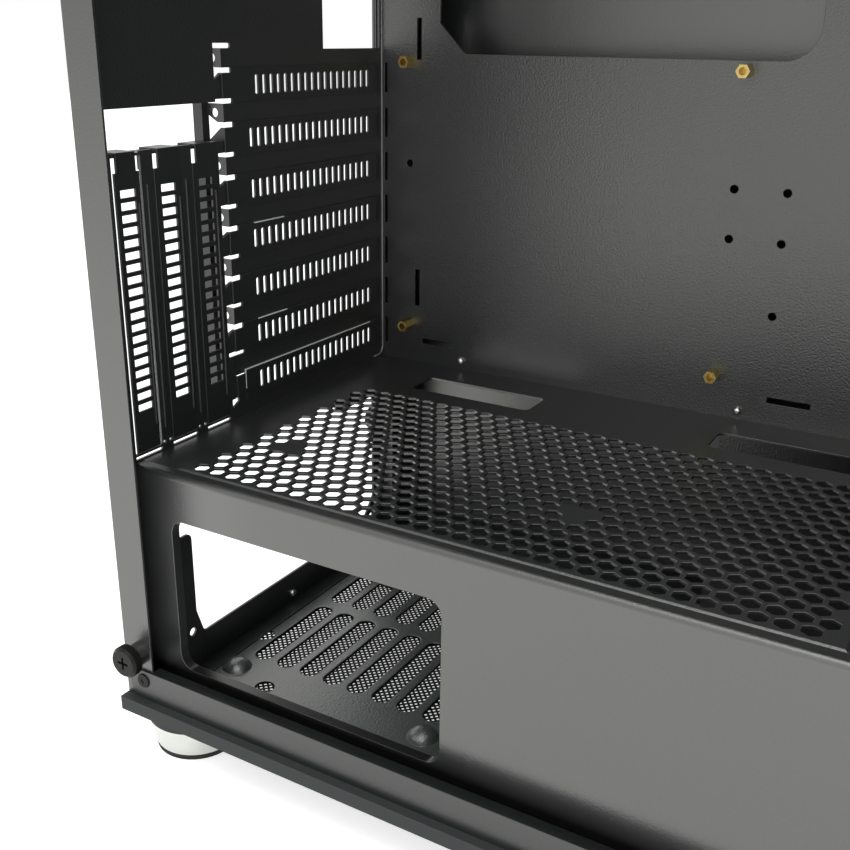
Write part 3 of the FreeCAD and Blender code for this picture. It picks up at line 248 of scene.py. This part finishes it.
def surface_group():
    """Fine grain and broad unevenness of a coated, moulded or turned surface."""
    if "Surface grain" in bpy.data.node_groups:
        return bpy.data.node_groups["Surface grain"]
    group, given, put = new_group(
        "Surface grain",
        {"Vector": "Vector", "Base": "Color", "Light": "Color", "Grain": "Float", "Smooth": "Float",
         "Rough": "Float"},
        {"Color": "Color", "Roughness": "Float", "Height": "Float", "Patches": "Float"})
    nodes, links = group.nodes, group.links
    fine = add_node(nodes, "TexNoise", {"Detail": 2.0, "Roughness": 0.55})
    links.new(given.outputs["Vector"], fine.inputs["Vector"])
    links.new(given.outputs["Grain"], fine.inputs["Scale"])
    links.new(fine.outputs["Fac"], put.inputs["Height"])
    broad = add_node(nodes, "TexNoise", {"Scale": 11.0, "Detail": 3.0})
    links.new(given.outputs["Vector"], broad.inputs["Vector"])
    share = add_node(nodes, "Math", operation="MULTIPLY")
    links.new(fine.outputs["Fac"], share.inputs[0])
    links.new(broad.outputs["Fac"], share.inputs[1])
    spread = add_node(nodes, "MapRange", {"From Min": 0.12, "From Max": 0.42})
    links.new(share.outputs["Value"], spread.inputs["Value"])
    colour = add_node(nodes, "Mix", data_type="RGBA")
    links.new(spread.outputs["Result"], colour.inputs["Factor"])
    links.new(given.outputs["Base"], colour.inputs["A"])
    links.new(given.outputs["Light"], colour.inputs["B"])
    links.new(colour.outputs["Result"], put.inputs["Color"])
    gloss = add_node(nodes, "MapRange", {"From Min": 0.3, "From Max": 0.7})
    links.new(broad.outputs["Fac"], gloss.inputs["Value"])
    links.new(given.outputs["Smooth"], gloss.inputs["To Min"])
    links.new(given.outputs["Rough"], gloss.inputs["To Max"])
    links.new(gloss.outputs["Result"], put.inputs["Roughness"])
    patches = add_node(nodes, "MapRange", {"From Min": 0.42, "From Max": 0.58},
                       interpolation_type="SMOOTHSTEP")
    links.new(broad.outputs["Fac"], patches.inputs["Value"])
    links.new(patches.outputs["Result"], put.inputs["Patches"])
    return group


def wear_group():
    """Bare steel in patches where a softened normal leaves the flat one."""
    if "Edge wear" in bpy.data.node_groups:
        return bpy.data.node_groups["Edge wear"]
    group, given, put = new_group(
        "Edge wear",
        {"Color": "Color", "Bare": "Color", "Soft": "Vector", "Flat": "Vector", "Patches": "Float",
         "Wear": "Float"},
        {"Color": "Color"})
    nodes, links = group.nodes, group.links
    turn = add_node(nodes, "VectorMath", operation="DOT_PRODUCT")
    links.new(given.outputs["Soft"], turn.inputs[0])
    links.new(given.outputs["Flat"], turn.inputs[1])
    mask = add_node(nodes, "MapRange", {"From Min": 0.98, "From Max": 0.80})
    links.new(turn.outputs["Value"], mask.inputs["Value"])
    links.new(given.outputs["Wear"], mask.inputs["To Max"])
    share = add_node(nodes, "Math", operation="MULTIPLY")
    links.new(mask.outputs["Result"], share.inputs[0])
    links.new(given.outputs["Patches"], share.inputs[1])
    colour = add_node(nodes, "Mix", data_type="RGBA")
    links.new(share.outputs["Value"], colour.inputs["Factor"])
    links.new(given.outputs["Color"], colour.inputs["A"])
    links.new(given.outputs["Bare"], colour.inputs["B"])
    links.new(colour.outputs["Result"], put.inputs["Color"])
    return group


def fall_group():
    """Fall from 0 to 1, ever steeper, from a start to an end."""
    if "Sheet fall" in bpy.data.node_groups:
        return bpy.data.node_groups["Sheet fall"]
    group, given, put = new_group(
        "Sheet fall", {"Place": "Float", "Start": "Float", "End": "Float"}, {"Fall": "Float"})
    nodes, links = group.nodes, group.links
    way = add_node(nodes, "MapRange")
    links.new(given.outputs["Place"], way.inputs["Value"])
    links.new(given.outputs["Start"], way.inputs["From Min"])
    links.new(given.outputs["End"], way.inputs["From Max"])
    square = add_node(nodes, "Math", {1: 2.0}, operation="POWER")
    links.new(way.outputs["Result"], square.inputs[0])
    links.new(square.outputs["Value"], put.inputs["Fall"])
    return group


# Materials

def toned(colour, by):
    """Colour times a factor, no brighter than white."""
    return [min(1.0, c * by) for c in colour]


def fall_along(nodes, links, place, axis, start, end):
    """Output of a Sheet fall group along one axis of the object."""
    axes = add_node(nodes, "SeparateXYZ")
    links.new(place.outputs["Object"], axes.inputs["Vector"])
    fall = add_node(nodes, "Group", {"Start": start, "End": end}, node_tree=fall_group())
    links.new(axes.outputs[axis], fall.inputs["Place"])
    return fall.outputs["Fall"]


def wear_edges(nodes, links, shader, surface, relief, edge, wear):
    """Soft edges with bare steel in patches."""
    bare = bpy.context.scene.case_finish.bare
    soft = add_node(nodes, "Bevel", {"Radius": edge}, samples=4)
    flat = add_node(nodes, "NewGeometry")
    worn = add_node(nodes, "Group", {"Bare": (*bare, 1), "Wear": wear}, node_tree=wear_group())
    links.new(soft.outputs["Normal"], relief.inputs["Normal"])
    links.new(soft.outputs["Normal"], worn.inputs["Soft"])
    links.new(flat.outputs["Normal"], worn.inputs["Flat"])
    links.new(surface.outputs["Color"], worn.inputs["Color"])
    links.new(surface.outputs["Patches"], worn.inputs["Patches"])
    links.new(worn.outputs["Color"], shader.inputs["Base Color"])


def dull_zone(nodes, links, shader, mask):
    """Painted shade: dark colour with no gloss where the mask is 1, made as a metal that reflects almost
    nothing.
    """
    dark = toned(bpy.context.scene.case_finish.coat, PAINTED_SHADE_TONE)
    colour = add_node(nodes, "Mix", {"B": (*dark, 1)}, data_type="RGBA")
    links.new(mask, colour.inputs["Factor"])
    links.new(shader.inputs["Base Color"].links[0].from_socket, colour.inputs["A"])
    links.new(colour.outputs["Result"], shader.inputs["Base Color"])
    links.new(mask, shader.inputs["Metallic"])


def finish_material(name, base, light, grain, smooth, rough, bump, metallic=0.0, ior=1.5, edge=0.0,
                    wear=0.0, dips=(), dull=()):
    """Material with grain, uneven gloss, soft worn edges, slow dips in the sheet and zones of painted
    shade.
    """
    if name in bpy.data.materials:
        return bpy.data.materials[name]
    material = bpy.data.materials.new(name)
    material.use_nodes = True
    nodes, links = material.node_tree.nodes, material.node_tree.links
    shader = nodes["Principled BSDF"]
    shader.inputs["Metallic"].default_value = metallic
    shader.inputs["IOR"].default_value = ior
    shader.inputs["Specular Tint"].default_value = GLOSS_TINT
    place = add_node(nodes, "TexCoord")
    surface = add_node(nodes, "Group", {"Base": (*base, 1), "Light": (*light, 1), "Grain": grain,
                                        "Smooth": smooth, "Rough": rough}, node_tree=surface_group())
    links.new(place.outputs["Object"], surface.inputs["Vector"])
    links.new(surface.outputs["Color"], shader.inputs["Base Color"])
    links.new(surface.outputs["Roughness"], shader.inputs["Roughness"])
    relief = add_node(nodes, "Bump", {"Strength": bump, "Distance": GRAIN_DEPTH})
    links.new(surface.outputs["Height"], relief.inputs["Height"])
    if edge > 0:
        wear_edges(nodes, links, shader, surface, relief, edge, wear)
    # Zones of painted shade: darker colour with no gloss
    for axis, start, end in dull:
        dull_zone(nodes, links, shader, fall_along(nodes, links, place, axis, start, end))
    for axis, start, end, depth in dips:
        lower = add_node(nodes, "Bump", {"Strength": 1.0, "Distance": depth}, invert=True)
        links.new(fall_along(nodes, links, place, axis, start, end), lower.inputs["Height"])
        links.new(relief.outputs["Normal"], lower.inputs["Normal"])
        relief = lower
    links.new(relief.outputs["Normal"], shader.inputs["Normal"])
    return material


def coat(name, worn=1.0, tone=1.0, coarse=1.0, bump=0.35, ior=2.05, **zones):
    """Satin black powder coat, with soft worn edges unless worn is 0."""
    f = bpy.context.scene.case_finish
    return finish_material(name, toned(f.coat, tone), toned(f.coat_light, tone), f.grain / coarse,
                           smooth=0.29, rough=0.36, bump=bump, ior=ior, edge=f.edge if worn else 0.0,
                           wear=worn * f.wear, **zones)


def powder_coat():
    """Powder coat of most of the sheet metal."""
    return coat("powder_coat")


def tray_coat():
    """Duller powder coat of the tray."""
    return coat("tray_coat", worn=0.3, bump=0.9, ior=1.9)


def cover_coat():
    """Dull powder coat of the slot covers."""
    return coat("cover_coat", worn=0.4, ior=1.62)


def rail_coat():
    """Dull powder coat of the side panels' rails."""
    return coat("rail_coat", worn=0.6, ior=1.72)


def rear_coat():
    """Dull powder coat of the rear sheet's areas, which run into each other with no edge between."""
    return coat("rear_coat", worn=0.0, bump=0.9, ior=1.75)


def floor_coat():
    """Coarser powder coat of the bottom sheet, toned paler as painted light, with painted shade in its
    cut rims.
    """
    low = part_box("bottom_panel")[0].z
    # Toned five times paler: painted light on the bottom sheet; the zone in the cut rims is painted shade
    return coat("floor_coat", tone=5.0, coarse=1.3, bump=0.9, ior=2.3,
                dull=(("Z", low + RIM_SHADE_START, low + RIM_SHADE_END),))


def wall_coat():
    """Powder coat of the shroud's wall, which falls in behind the rear flange and over the rail, with
    painted shade low over the rail.
    """
    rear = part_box("psu_shroud_side")[1].y
    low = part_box("lower_left_rail")[1].z
    return coat("wall_coat",
                dips=(("Y", rear - WALL_REAR_START, rear, WALL_REAR_DEPTH),
                      ("Z", low + WALL_LOW_START, low, WALL_LOW_DEPTH)),
                # The zone low over the rail is painted shade
                dull=(("Z", low + WALL_SHADE_START, low + WALL_SHADE_END),))


def hem_highlight_coat():
    """Pale coat on a round hem, a painted highlight along the bend."""
    f = bpy.context.scene.case_finish
    return finish_material("hem_highlight_coat", toned(f.bare, 0.36), toned(f.bare, 0.48), f.grain,
                           smooth=0.3, rough=0.4, bump=0.2, ior=2.05)


def black_plastic():
    """Fine-grained black plastic."""
    f = bpy.context.scene.case_finish
    return finish_material("black_plastic", f.plastic, f.plastic_light, grain=1.6 * f.grain,
                           smooth=0.30, rough=0.40, bump=0.4, ior=2.1, edge=f.edge, wear=f.wear)


def bright_zinc():
    """Bright zinc of small screws and sockets."""
    f = bpy.context.scene.case_finish
    return finish_material("bright_zinc", f.zinc, toned(f.zinc, 1.2), grain=900,
                           smooth=0.2, rough=0.34, bump=0.05, metallic=1.0)


def glinting_bare_steel():
    """Bare steel of scuffed cut edges, toned pale as a painted glint."""
    f = bpy.context.scene.case_finish
    return finish_material("glinting_bare_steel", toned(f.bare, 2.6), toned(f.bare, 3.0), grain=900,
                           smooth=0.4, rough=0.5, bump=0.05, metallic=0.2)


def black_oxide():
    """Blackened steel of the thumbscrews and the rail rivets."""
    f = bpy.context.scene.case_finish
    return finish_material("black_oxide", f.oxide, toned(f.oxide, 1.5), grain=2200,
                           smooth=0.32, rough=0.42, bump=0.15, ior=1.26, edge=f.edge, wear=0.1 * f.wear)


def turned_brass():
    """Turned brass of the standoffs."""
    f = bpy.context.scene.case_finish
    return finish_material("turned_brass", f.brass, toned(f.brass, 1.15), grain=1200,
                           smooth=0.24, rough=0.36, bump=0.06, metallic=1.0)


def bright_plating():
    """Bright plating of the foot rings."""
    f = bpy.context.scene.case_finish
    return finish_material("bright_plating", f.plating, toned(f.plating, 1.05), grain=300,
                           smooth=0.08, rough=0.16, bump=0.01, metallic=1.0)


def pad_rubber():
    """Matt rubber of the foot pads."""
    f = bpy.context.scene.case_finish
    return finish_material("pad_rubber", f.rubber, toned(f.rubber, 1.8), grain=1800,
                           smooth=0.7, rough=0.85, bump=0.3)


def filter_thread():
    """Black thread of the dust filters."""
    f = bpy.context.scene.case_finish
    return finish_material("filter_thread", toned(f.plastic, 0.5), f.plastic, grain=3000,
                           smooth=0.5, rough=0.65, bump=0.2)


def seen_directly(nodes, links):
    """1 for rays from the camera, a mirror or glass."""
    path = add_node(nodes, "LightPath")
    first = add_node(nodes, "Math", operation="MAXIMUM")
    links.new(path.outputs["Is Camera Ray"], first.inputs[0])
    links.new(path.outputs["Is Glossy Ray"], first.inputs[1])
    second = add_node(nodes, "Math", operation="MAXIMUM")
    links.new(first.outputs["Value"], second.inputs[0])
    links.new(path.outputs["Is Transmission Ray"], second.inputs[1])
    return second.outputs["Value"]


def floor_material():
    """Pale floor that reads white and keeps a light shadow."""
    material = bpy.data.materials.new("studio_floor")
    material.use_nodes = True
    nodes, links = material.node_tree.nodes, material.node_tree.links
    shader = nodes["Principled BSDF"]
    shader.inputs["Base Color"].default_value = FLOOR_COLOUR
    shader.inputs["Roughness"].default_value = 0.9
    shader.inputs["Specular IOR Level"].default_value = 0.0
    shader.inputs["Emission Color"].default_value = WHITE
    glow = add_node(nodes, "Math", {1: FLOOR_GLOW}, operation="MULTIPLY")
    links.new(seen_directly(nodes, links), glow.inputs[0])
    links.new(glow.outputs["Value"], shader.inputs["Emission Strength"])
    return material


# Pieces

def paint(objects, material):
    """Gives each object one material."""
    for o in objects:
        o.data.materials.clear()
        o.data.materials.append(material)


def mesh_object(name, build, material):
    """New object from a bmesh, with one material."""
    mesh = bpy.data.meshes.new(name)
    build.to_mesh(mesh)
    build.free()
    made = bpy.data.objects.new(name, mesh)
    bpy.context.scene.collection.objects.link(made)
    made.data.materials.append(material)
    return made


def piece(name, build, body, material):
    """New piece from a bmesh, riding on a body."""
    made = mesh_object(name, build, material)
    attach(made, body)
    return made


def block(build, low, high):
    """Block between two corners."""
    verts = bmesh.ops.create_cube(build, size=1.0)["verts"]
    bmesh.ops.scale(build, vec=high - low, verts=verts)
    bmesh.ops.translate(build, vec=(low + high) / 2, verts=verts)
    return verts


def weave(low, high, detail):
    """Two crossing layers of diagonal threads, trimmed to a box."""
    reach = (high - low).to_2d().length / 2
    count = int(reach / detail.weave_pitch) + 1
    thick = (high.z - low.z) / 2
    build = bmesh.new()
    for layer, turn in ((-0.5, THREAD_TURN), (0.5, -THREAD_TURN)):
        thread = bmesh.ops.create_cube(build, size=1.0)["verts"]
        bmesh.ops.scale(build, vec=(2 * reach, detail.weave_thread, thick), verts=thread)
        bmesh.ops.translate(build, vec=(0, -count * detail.weave_pitch, layer * thick), verts=thread)
        faces = once(face for v in thread for face in v.link_faces)
        made = list(thread)
        for k in range(1, 2 * count + 1):
            copy = bmesh.ops.duplicate(build, geom=faces)["geom"]
            verts = [g for g in copy if isinstance(g, bmesh.types.BMVert)]
            bmesh.ops.translate(build, vec=(0, k * detail.weave_pitch, 0), verts=verts)
            made += verts
        bmesh.ops.rotate(build, cent=(0, 0, 0), matrix=Matrix.Rotation(turn, 3, "Z"), verts=made)
    bmesh.ops.translate(build, vec=(low + high) / 2, verts=build.verts[:])
    for point, normal in ((low, (-1, 0, 0)), (low, (0, -1, 0)), (high, (1, 0, 0)), (high, (0, 1, 0))):
        everything = build.verts[:] + build.edges[:] + build.faces[:]
        cut = bmesh.ops.bisect_plane(build, geom=everything, dist=1e-6, plane_co=point, plane_no=normal,
                                     clear_outer=True)
        rim = [g for g in cut["geom_cut"] if isinstance(g, bmesh.types.BMEdge)]
        bmesh.ops.holes_fill(build, edges=rim, sides=8)
    return build


def drawn_out(build, edges, way):
    """Open rim pulled on by a vector; gives the new rim's edges."""
    made = bmesh.ops.extrude_edge_only(build, edges=edges)["geom"]
    verts = [g for g in made if isinstance(g, bmesh.types.BMVert)]
    bmesh.ops.translate(build, vec=way, verts=verts)
    return [edge for edge in build.edges if all(v in verts for v in edge.verts)]


def hem(top, low, radius, turn):
    """Round rod from its top down to a height, where it turns off sideways."""
    build = bmesh.new()
    bmesh.ops.create_circle(build, cap_ends=False, segments=HEM_SIDES, radius=radius,
                            matrix=Matrix.Translation(top))
    rim = drawn_out(build, build.edges[:], (0, 0, low + turn - top.z))
    turned = bmesh.ops.spin(build, geom=rim + once(v for edge in rim for v in edge.verts),
                            cent=(top.x - turn, top.y, low + turn), axis=(0, 1, 0),
                            angle=math.radians(90), steps=HEM_STEPS, use_merge=False)["geom_last"]
    drawn_out(build, [g for g in turned if isinstance(g, bmesh.types.BMEdge)], (-turn, 0, 0))
    open_edges = [edge for edge in build.edges if edge.is_boundary]
    bmesh.ops.holes_fill(build, edges=open_edges, sides=HEM_SIDES)
    bmesh.ops.recalc_face_normals(build, faces=build.faces[:])
    for face in build.faces:
        face.smooth = len(face.verts) < HEM_SIDES
    return build


def rib(build, x, low, high, width, height):
    """Pressed rib standing on the rear panel's inner face."""
    verts = block(build, Vector((x - width / 2, CORNER.y - height, low)),
                  Vector((x + width / 2, CORNER.y + height, high)))
    bmesh.ops.bevel(build, geom=once(edge for v in verts for edge in v.link_edges),
                    offset=RIB_ROUNDING * height, segments=2, profile=0.5, affect="EDGES", material=-1)


# Operators

class CASE_OT_sheet_metal(bpy.types.Operator):
    """Powder coat on all folded sheet metal"""
    bl_idname = "case.sheet_metal"
    bl_label = "Coat sheet metal"

    def execute(self, context):
        paint(named("rear_left_flange", "top_panel", "front_frame", "psu_shroud_top", "drive_cage",
                    "right_side_panel", "panel_posts"), powder_coat())
        paint(named("motherboard_tray"), tray_coat())
        paint(named("slot_", "upright_"), cover_coat())
        paint(named("rear_fan", "rear_slot", "rear_upright", "rear_supply", "rear_right"), rear_coat())
        paint(named("lower_", "upper_"), rail_coat())
        paint(named("psu_shroud_side"), wall_coat())
        paint(named("bottom_panel"), floor_coat())
        return {"FINISHED"}


class CASE_OT_plastics(bpy.types.Operator):
    """Black plastic on the base, the top, the front, the feet and the filter frames"""
    bl_idname = "case.plastics"
    bl_label = "Mould plastics"

    def execute(self, context):
        paint(named("base_skirt", "top_cover", "front_bezel", "power_button", "reset_button",
                    "audio_jacks", "usb_tongues", "filter_runners", "psu_filter_frame",
                    "top_filter_frame", "foot_body"), black_plastic())
        paint(named("foot_pad"), pad_rubber())
        return {"FINISHED"}


class CASE_OT_hardware(bpy.types.Operator):
    """Brass, plating, zinc and black oxide on the small metal pieces"""
    bl_idname = "case.hardware"
    bl_label = "Finish hardware"

    def execute(self, context):
        paint(named("standoffs"), turned_brass())
        paint(named("foot_ring"), bright_plating())
        paint(named("shroud_screws", "usb_shells"), bright_zinc())
        paint(named("left_thumbscrew", "right_thumbscrew", "rivets"), black_oxide())
        return {"FINISHED"}


class CASE_OT_filter_weave(bpy.types.Operator):
    """Woven threads of the two dust filters"""
    bl_idname = "case.filter_weave"
    bl_label = "Weave filters"

    def execute(self, context):
        for node, body in (("psu_filter_mesh", "supply_filter"), ("top_filter_mesh", "top_filter")):
            low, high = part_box(node)
            made = piece(node + "_weave", weave(low, high, context.scene.case_detail), body,
                         filter_thread())
            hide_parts(node)
        return {"FINISHED"}


class CASE_OT_rear_seam(bpy.types.Operator):
    """Foot of the rear sheet, folded on to the bottom sheet"""
    bl_idname = "case.rear_seam"
    bl_label = "Fold rear foot"

    def execute(self, context):
        d = context.scene.case_detail
        wall_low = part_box("psu_shroud_side")[0]
        build = bmesh.new()
        block(build, Vector((wall_low.x, CORNER.y - d.seam_depth, wall_low.z)),
              Vector((CORNER.x, CORNER.y, wall_low.z + d.seam_thick)))
        piece("rear_seam", build, CHASSIS, powder_coat())
        return {"FINISHED"}


class CASE_OT_corner_bend(bpy.types.Operator):
    """Round hem in the corner between the rear sheet and the tray, turned off over the shroud, with a
    painted highlight in its pale coat
    """
    bl_idname = "case.corner_bend"
    bl_label = "Round the corner"

    def execute(self, context):
        d = context.scene.case_detail
        top = Vector((CORNER.x - d.hem / 2, CORNER.y - d.hem / 2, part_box("top_panel")[0].z))
        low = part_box("psu_shroud_top")[1].z + d.hem
        # The hem's pale coat is a painted highlight
        piece("corner_bend", hem(top, low, d.hem, d.hem_turn), CHASSIS, hem_highlight_coat())
        return {"FINISHED"}


class CASE_OT_bare_edges(bpy.types.Operator):
    """Bare steel on the cut edges of three slot covers, toned pale as painted glints"""
    bl_idname = "case.bare_edges"
    bl_label = "Bare cover edges"

    def execute(self, context):
        d = context.scene.case_detail
        width = d.bare_glint_width
        proud = BARE_PROUD * width
        build = bmesh.new()
        for number, start, length, down in BARE_GLINT_COVERS:
            low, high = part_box("slot_cover_%d" % number)
            at = Vector((low.x + d.cover_neck + start, low.y, high.z))
            block(build, at + Vector((-proud, -proud, -width)), at + Vector((length, width, proud)))
            if down:
                block(build, at + Vector((-proud, -proud, -down)), at + Vector((width, width, -width)))
        piece("bare_edges", build, CHASSIS, glinting_bare_steel())
        return {"FINISHED"}


class CASE_OT_slot_ribs(bpy.types.Operator):
    """Pressed ribs on the upright slot covers and on the panel between them"""
    bl_idname = "case.slot_ribs"
    bl_label = "Press ribs"

    def execute(self, context):
        d = context.scene.case_detail
        covers = [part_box("upright_slot_cover_%d" % number) for number in (1, 2, 3)]
        pitch = covers[2][0].x - covers[1][0].x
        build = bmesh.new()
        foot, head = COVER_RIB_ENDS
        for low, high in covers:
            rib(build, high.x - d.rib_width / 2, low.z + foot, high.z - head,
                COVER_RIB_SHARE * d.rib_width, d.rib_height)
        foot, head = PANEL_RIB_ENDS
        for low, high in covers[:-1]:
            rib(build, (low.x + high.x + pitch) / 2, low.z + foot, high.z - head,
                d.rib_width, d.rib_height)
        bmesh.ops.recalc_face_normals(build, faces=build.faces[:])
        piece("slot_ribs", build, CHASSIS, cover_coat())
        return {"FINISHED"}


def white_floor():
    """Wide floor that the case stands on."""
    build = bmesh.new()
    bmesh.ops.create_grid(build, x_segments=1, y_segments=1, size=FLOOR_REACH)
    floor = mesh_object("floor", build, floor_material())


def white_surroundings(scene, fill):
    """World that looks white and lights at its own strength."""
    world = bpy.data.worlds.new("white_surroundings")
    scene.world = world
    world.use_nodes = True
    nodes, links = world.node_tree.nodes, world.node_tree.links
    sky = nodes["Background"]
    sky.inputs["Color"].default_value = WHITE
    level = add_node(nodes, "MapRange", {"To Min": fill, "To Max": 1.0})
    links.new(seen_directly(nodes, links), level.inputs["Value"])
    links.new(level.outputs["Result"], sky.inputs["Strength"])


def softbox(name, power, size, place):
    """Square area light that faces the case."""
    light = bpy.data.lights.new(name, "AREA")
    light.shape = "SQUARE"
    light.size = size
    light.energy = power
    lamp = bpy.data.objects.new(name, light)
    lamp.location = place
    lamp.rotation_euler = (LIT_POINT - Vector(place)).to_track_quat("-Z", "Y").to_euler()
    bpy.context.scene.collection.objects.link(lamp)


def add_camera(scene, stage):
    """Camera low at the open side, close to the rear corner."""
    camera = bpy.data.objects.new("camera", bpy.data.cameras.new("camera"))
    scene.collection.objects.link(camera)
    camera.data.sensor_width = SENSOR_WIDTH
    camera.data.lens = stage.lens
    camera.data.clip_start = NEAREST_SEEN
    camera.location = CORNER + Vector(stage.eye)
    camera.rotation_euler = stage.turn
    scene.camera = camera


class CASE_OT_stage(bpy.types.Operator):
    """White floor and surroundings, softboxes and the camera"""
    bl_idname = "case.stage"
    bl_label = "Set the stage"

    def execute(self, context):
        s = context.scene.case_stage
        context.scene.view_settings.view_transform = "Standard"
        white_floor()
        white_surroundings(context.scene, s.fill)
        softbox("softbox_side", s.key, size=1.3, place=(-1.25, -0.35, 0.75))
        softbox("softbox_top", s.top, size=1.2, place=(-0.35, -0.1, 1.6))
        add_camera(context.scene, s)
        return {"FINISHED"}


class CASE_PT_panel(bpy.types.Panel):
    """Case dressing"""
    bl_label = "Case"
    bl_idname = "CASE_PT_panel"
    bl_space_type = "VIEW_3D"
    bl_region_type = "UI"
    bl_category = "Case"

    def draw(self, context):
        for group in (context.scene.case_finish, context.scene.case_detail, context.scene.case_stage):
            for name in group.__annotations__:
                self.layout.prop(group, name)
        for operator in OPERATORS:
            self.layout.operator(operator.bl_idname)


GROUPS = (CaseFinish, CaseDetail, CaseStage)
OPERATORS = (CASE_OT_sheet_metal, CASE_OT_plastics, CASE_OT_hardware, CASE_OT_filter_weave,
             CASE_OT_rear_seam, CASE_OT_corner_bend, CASE_OT_bare_edges, CASE_OT_slot_ribs, CASE_OT_stage)


def register():
    """Adds the classes and the scene's settings."""
    for cls in (*GROUPS, *OPERATORS, CASE_PT_panel):
        bpy.utils.register_class(cls)
    bpy.types.Scene.case_finish = PointerProperty(type=CaseFinish)
    bpy.types.Scene.case_detail = PointerProperty(type=CaseDetail)
    bpy.types.Scene.case_stage = PointerProperty(type=CaseStage)


def unregister():
    """Takes the scene's settings and the classes away."""
    del bpy.types.Scene.case_finish
    del bpy.types.Scene.case_detail
    del bpy.types.Scene.case_stage
    for cls in reversed((*GROUPS, *OPERATORS, CASE_PT_panel)):
        bpy.utils.unregister_class(cls)


def main():
    """Dresses the case and sets the stage."""
    register()
    bpy.ops.case.sheet_metal()
    bpy.ops.case.plastics()
    bpy.ops.case.hardware()
    bpy.ops.case.filter_weave()
    bpy.ops.case.rear_seam()
    bpy.ops.case.corner_bend()
    bpy.ops.case.bare_edges()
    bpy.ops.case.slot_ribs()
    bpy.ops.case.stage()


if __name__ == "__main__":
    main()
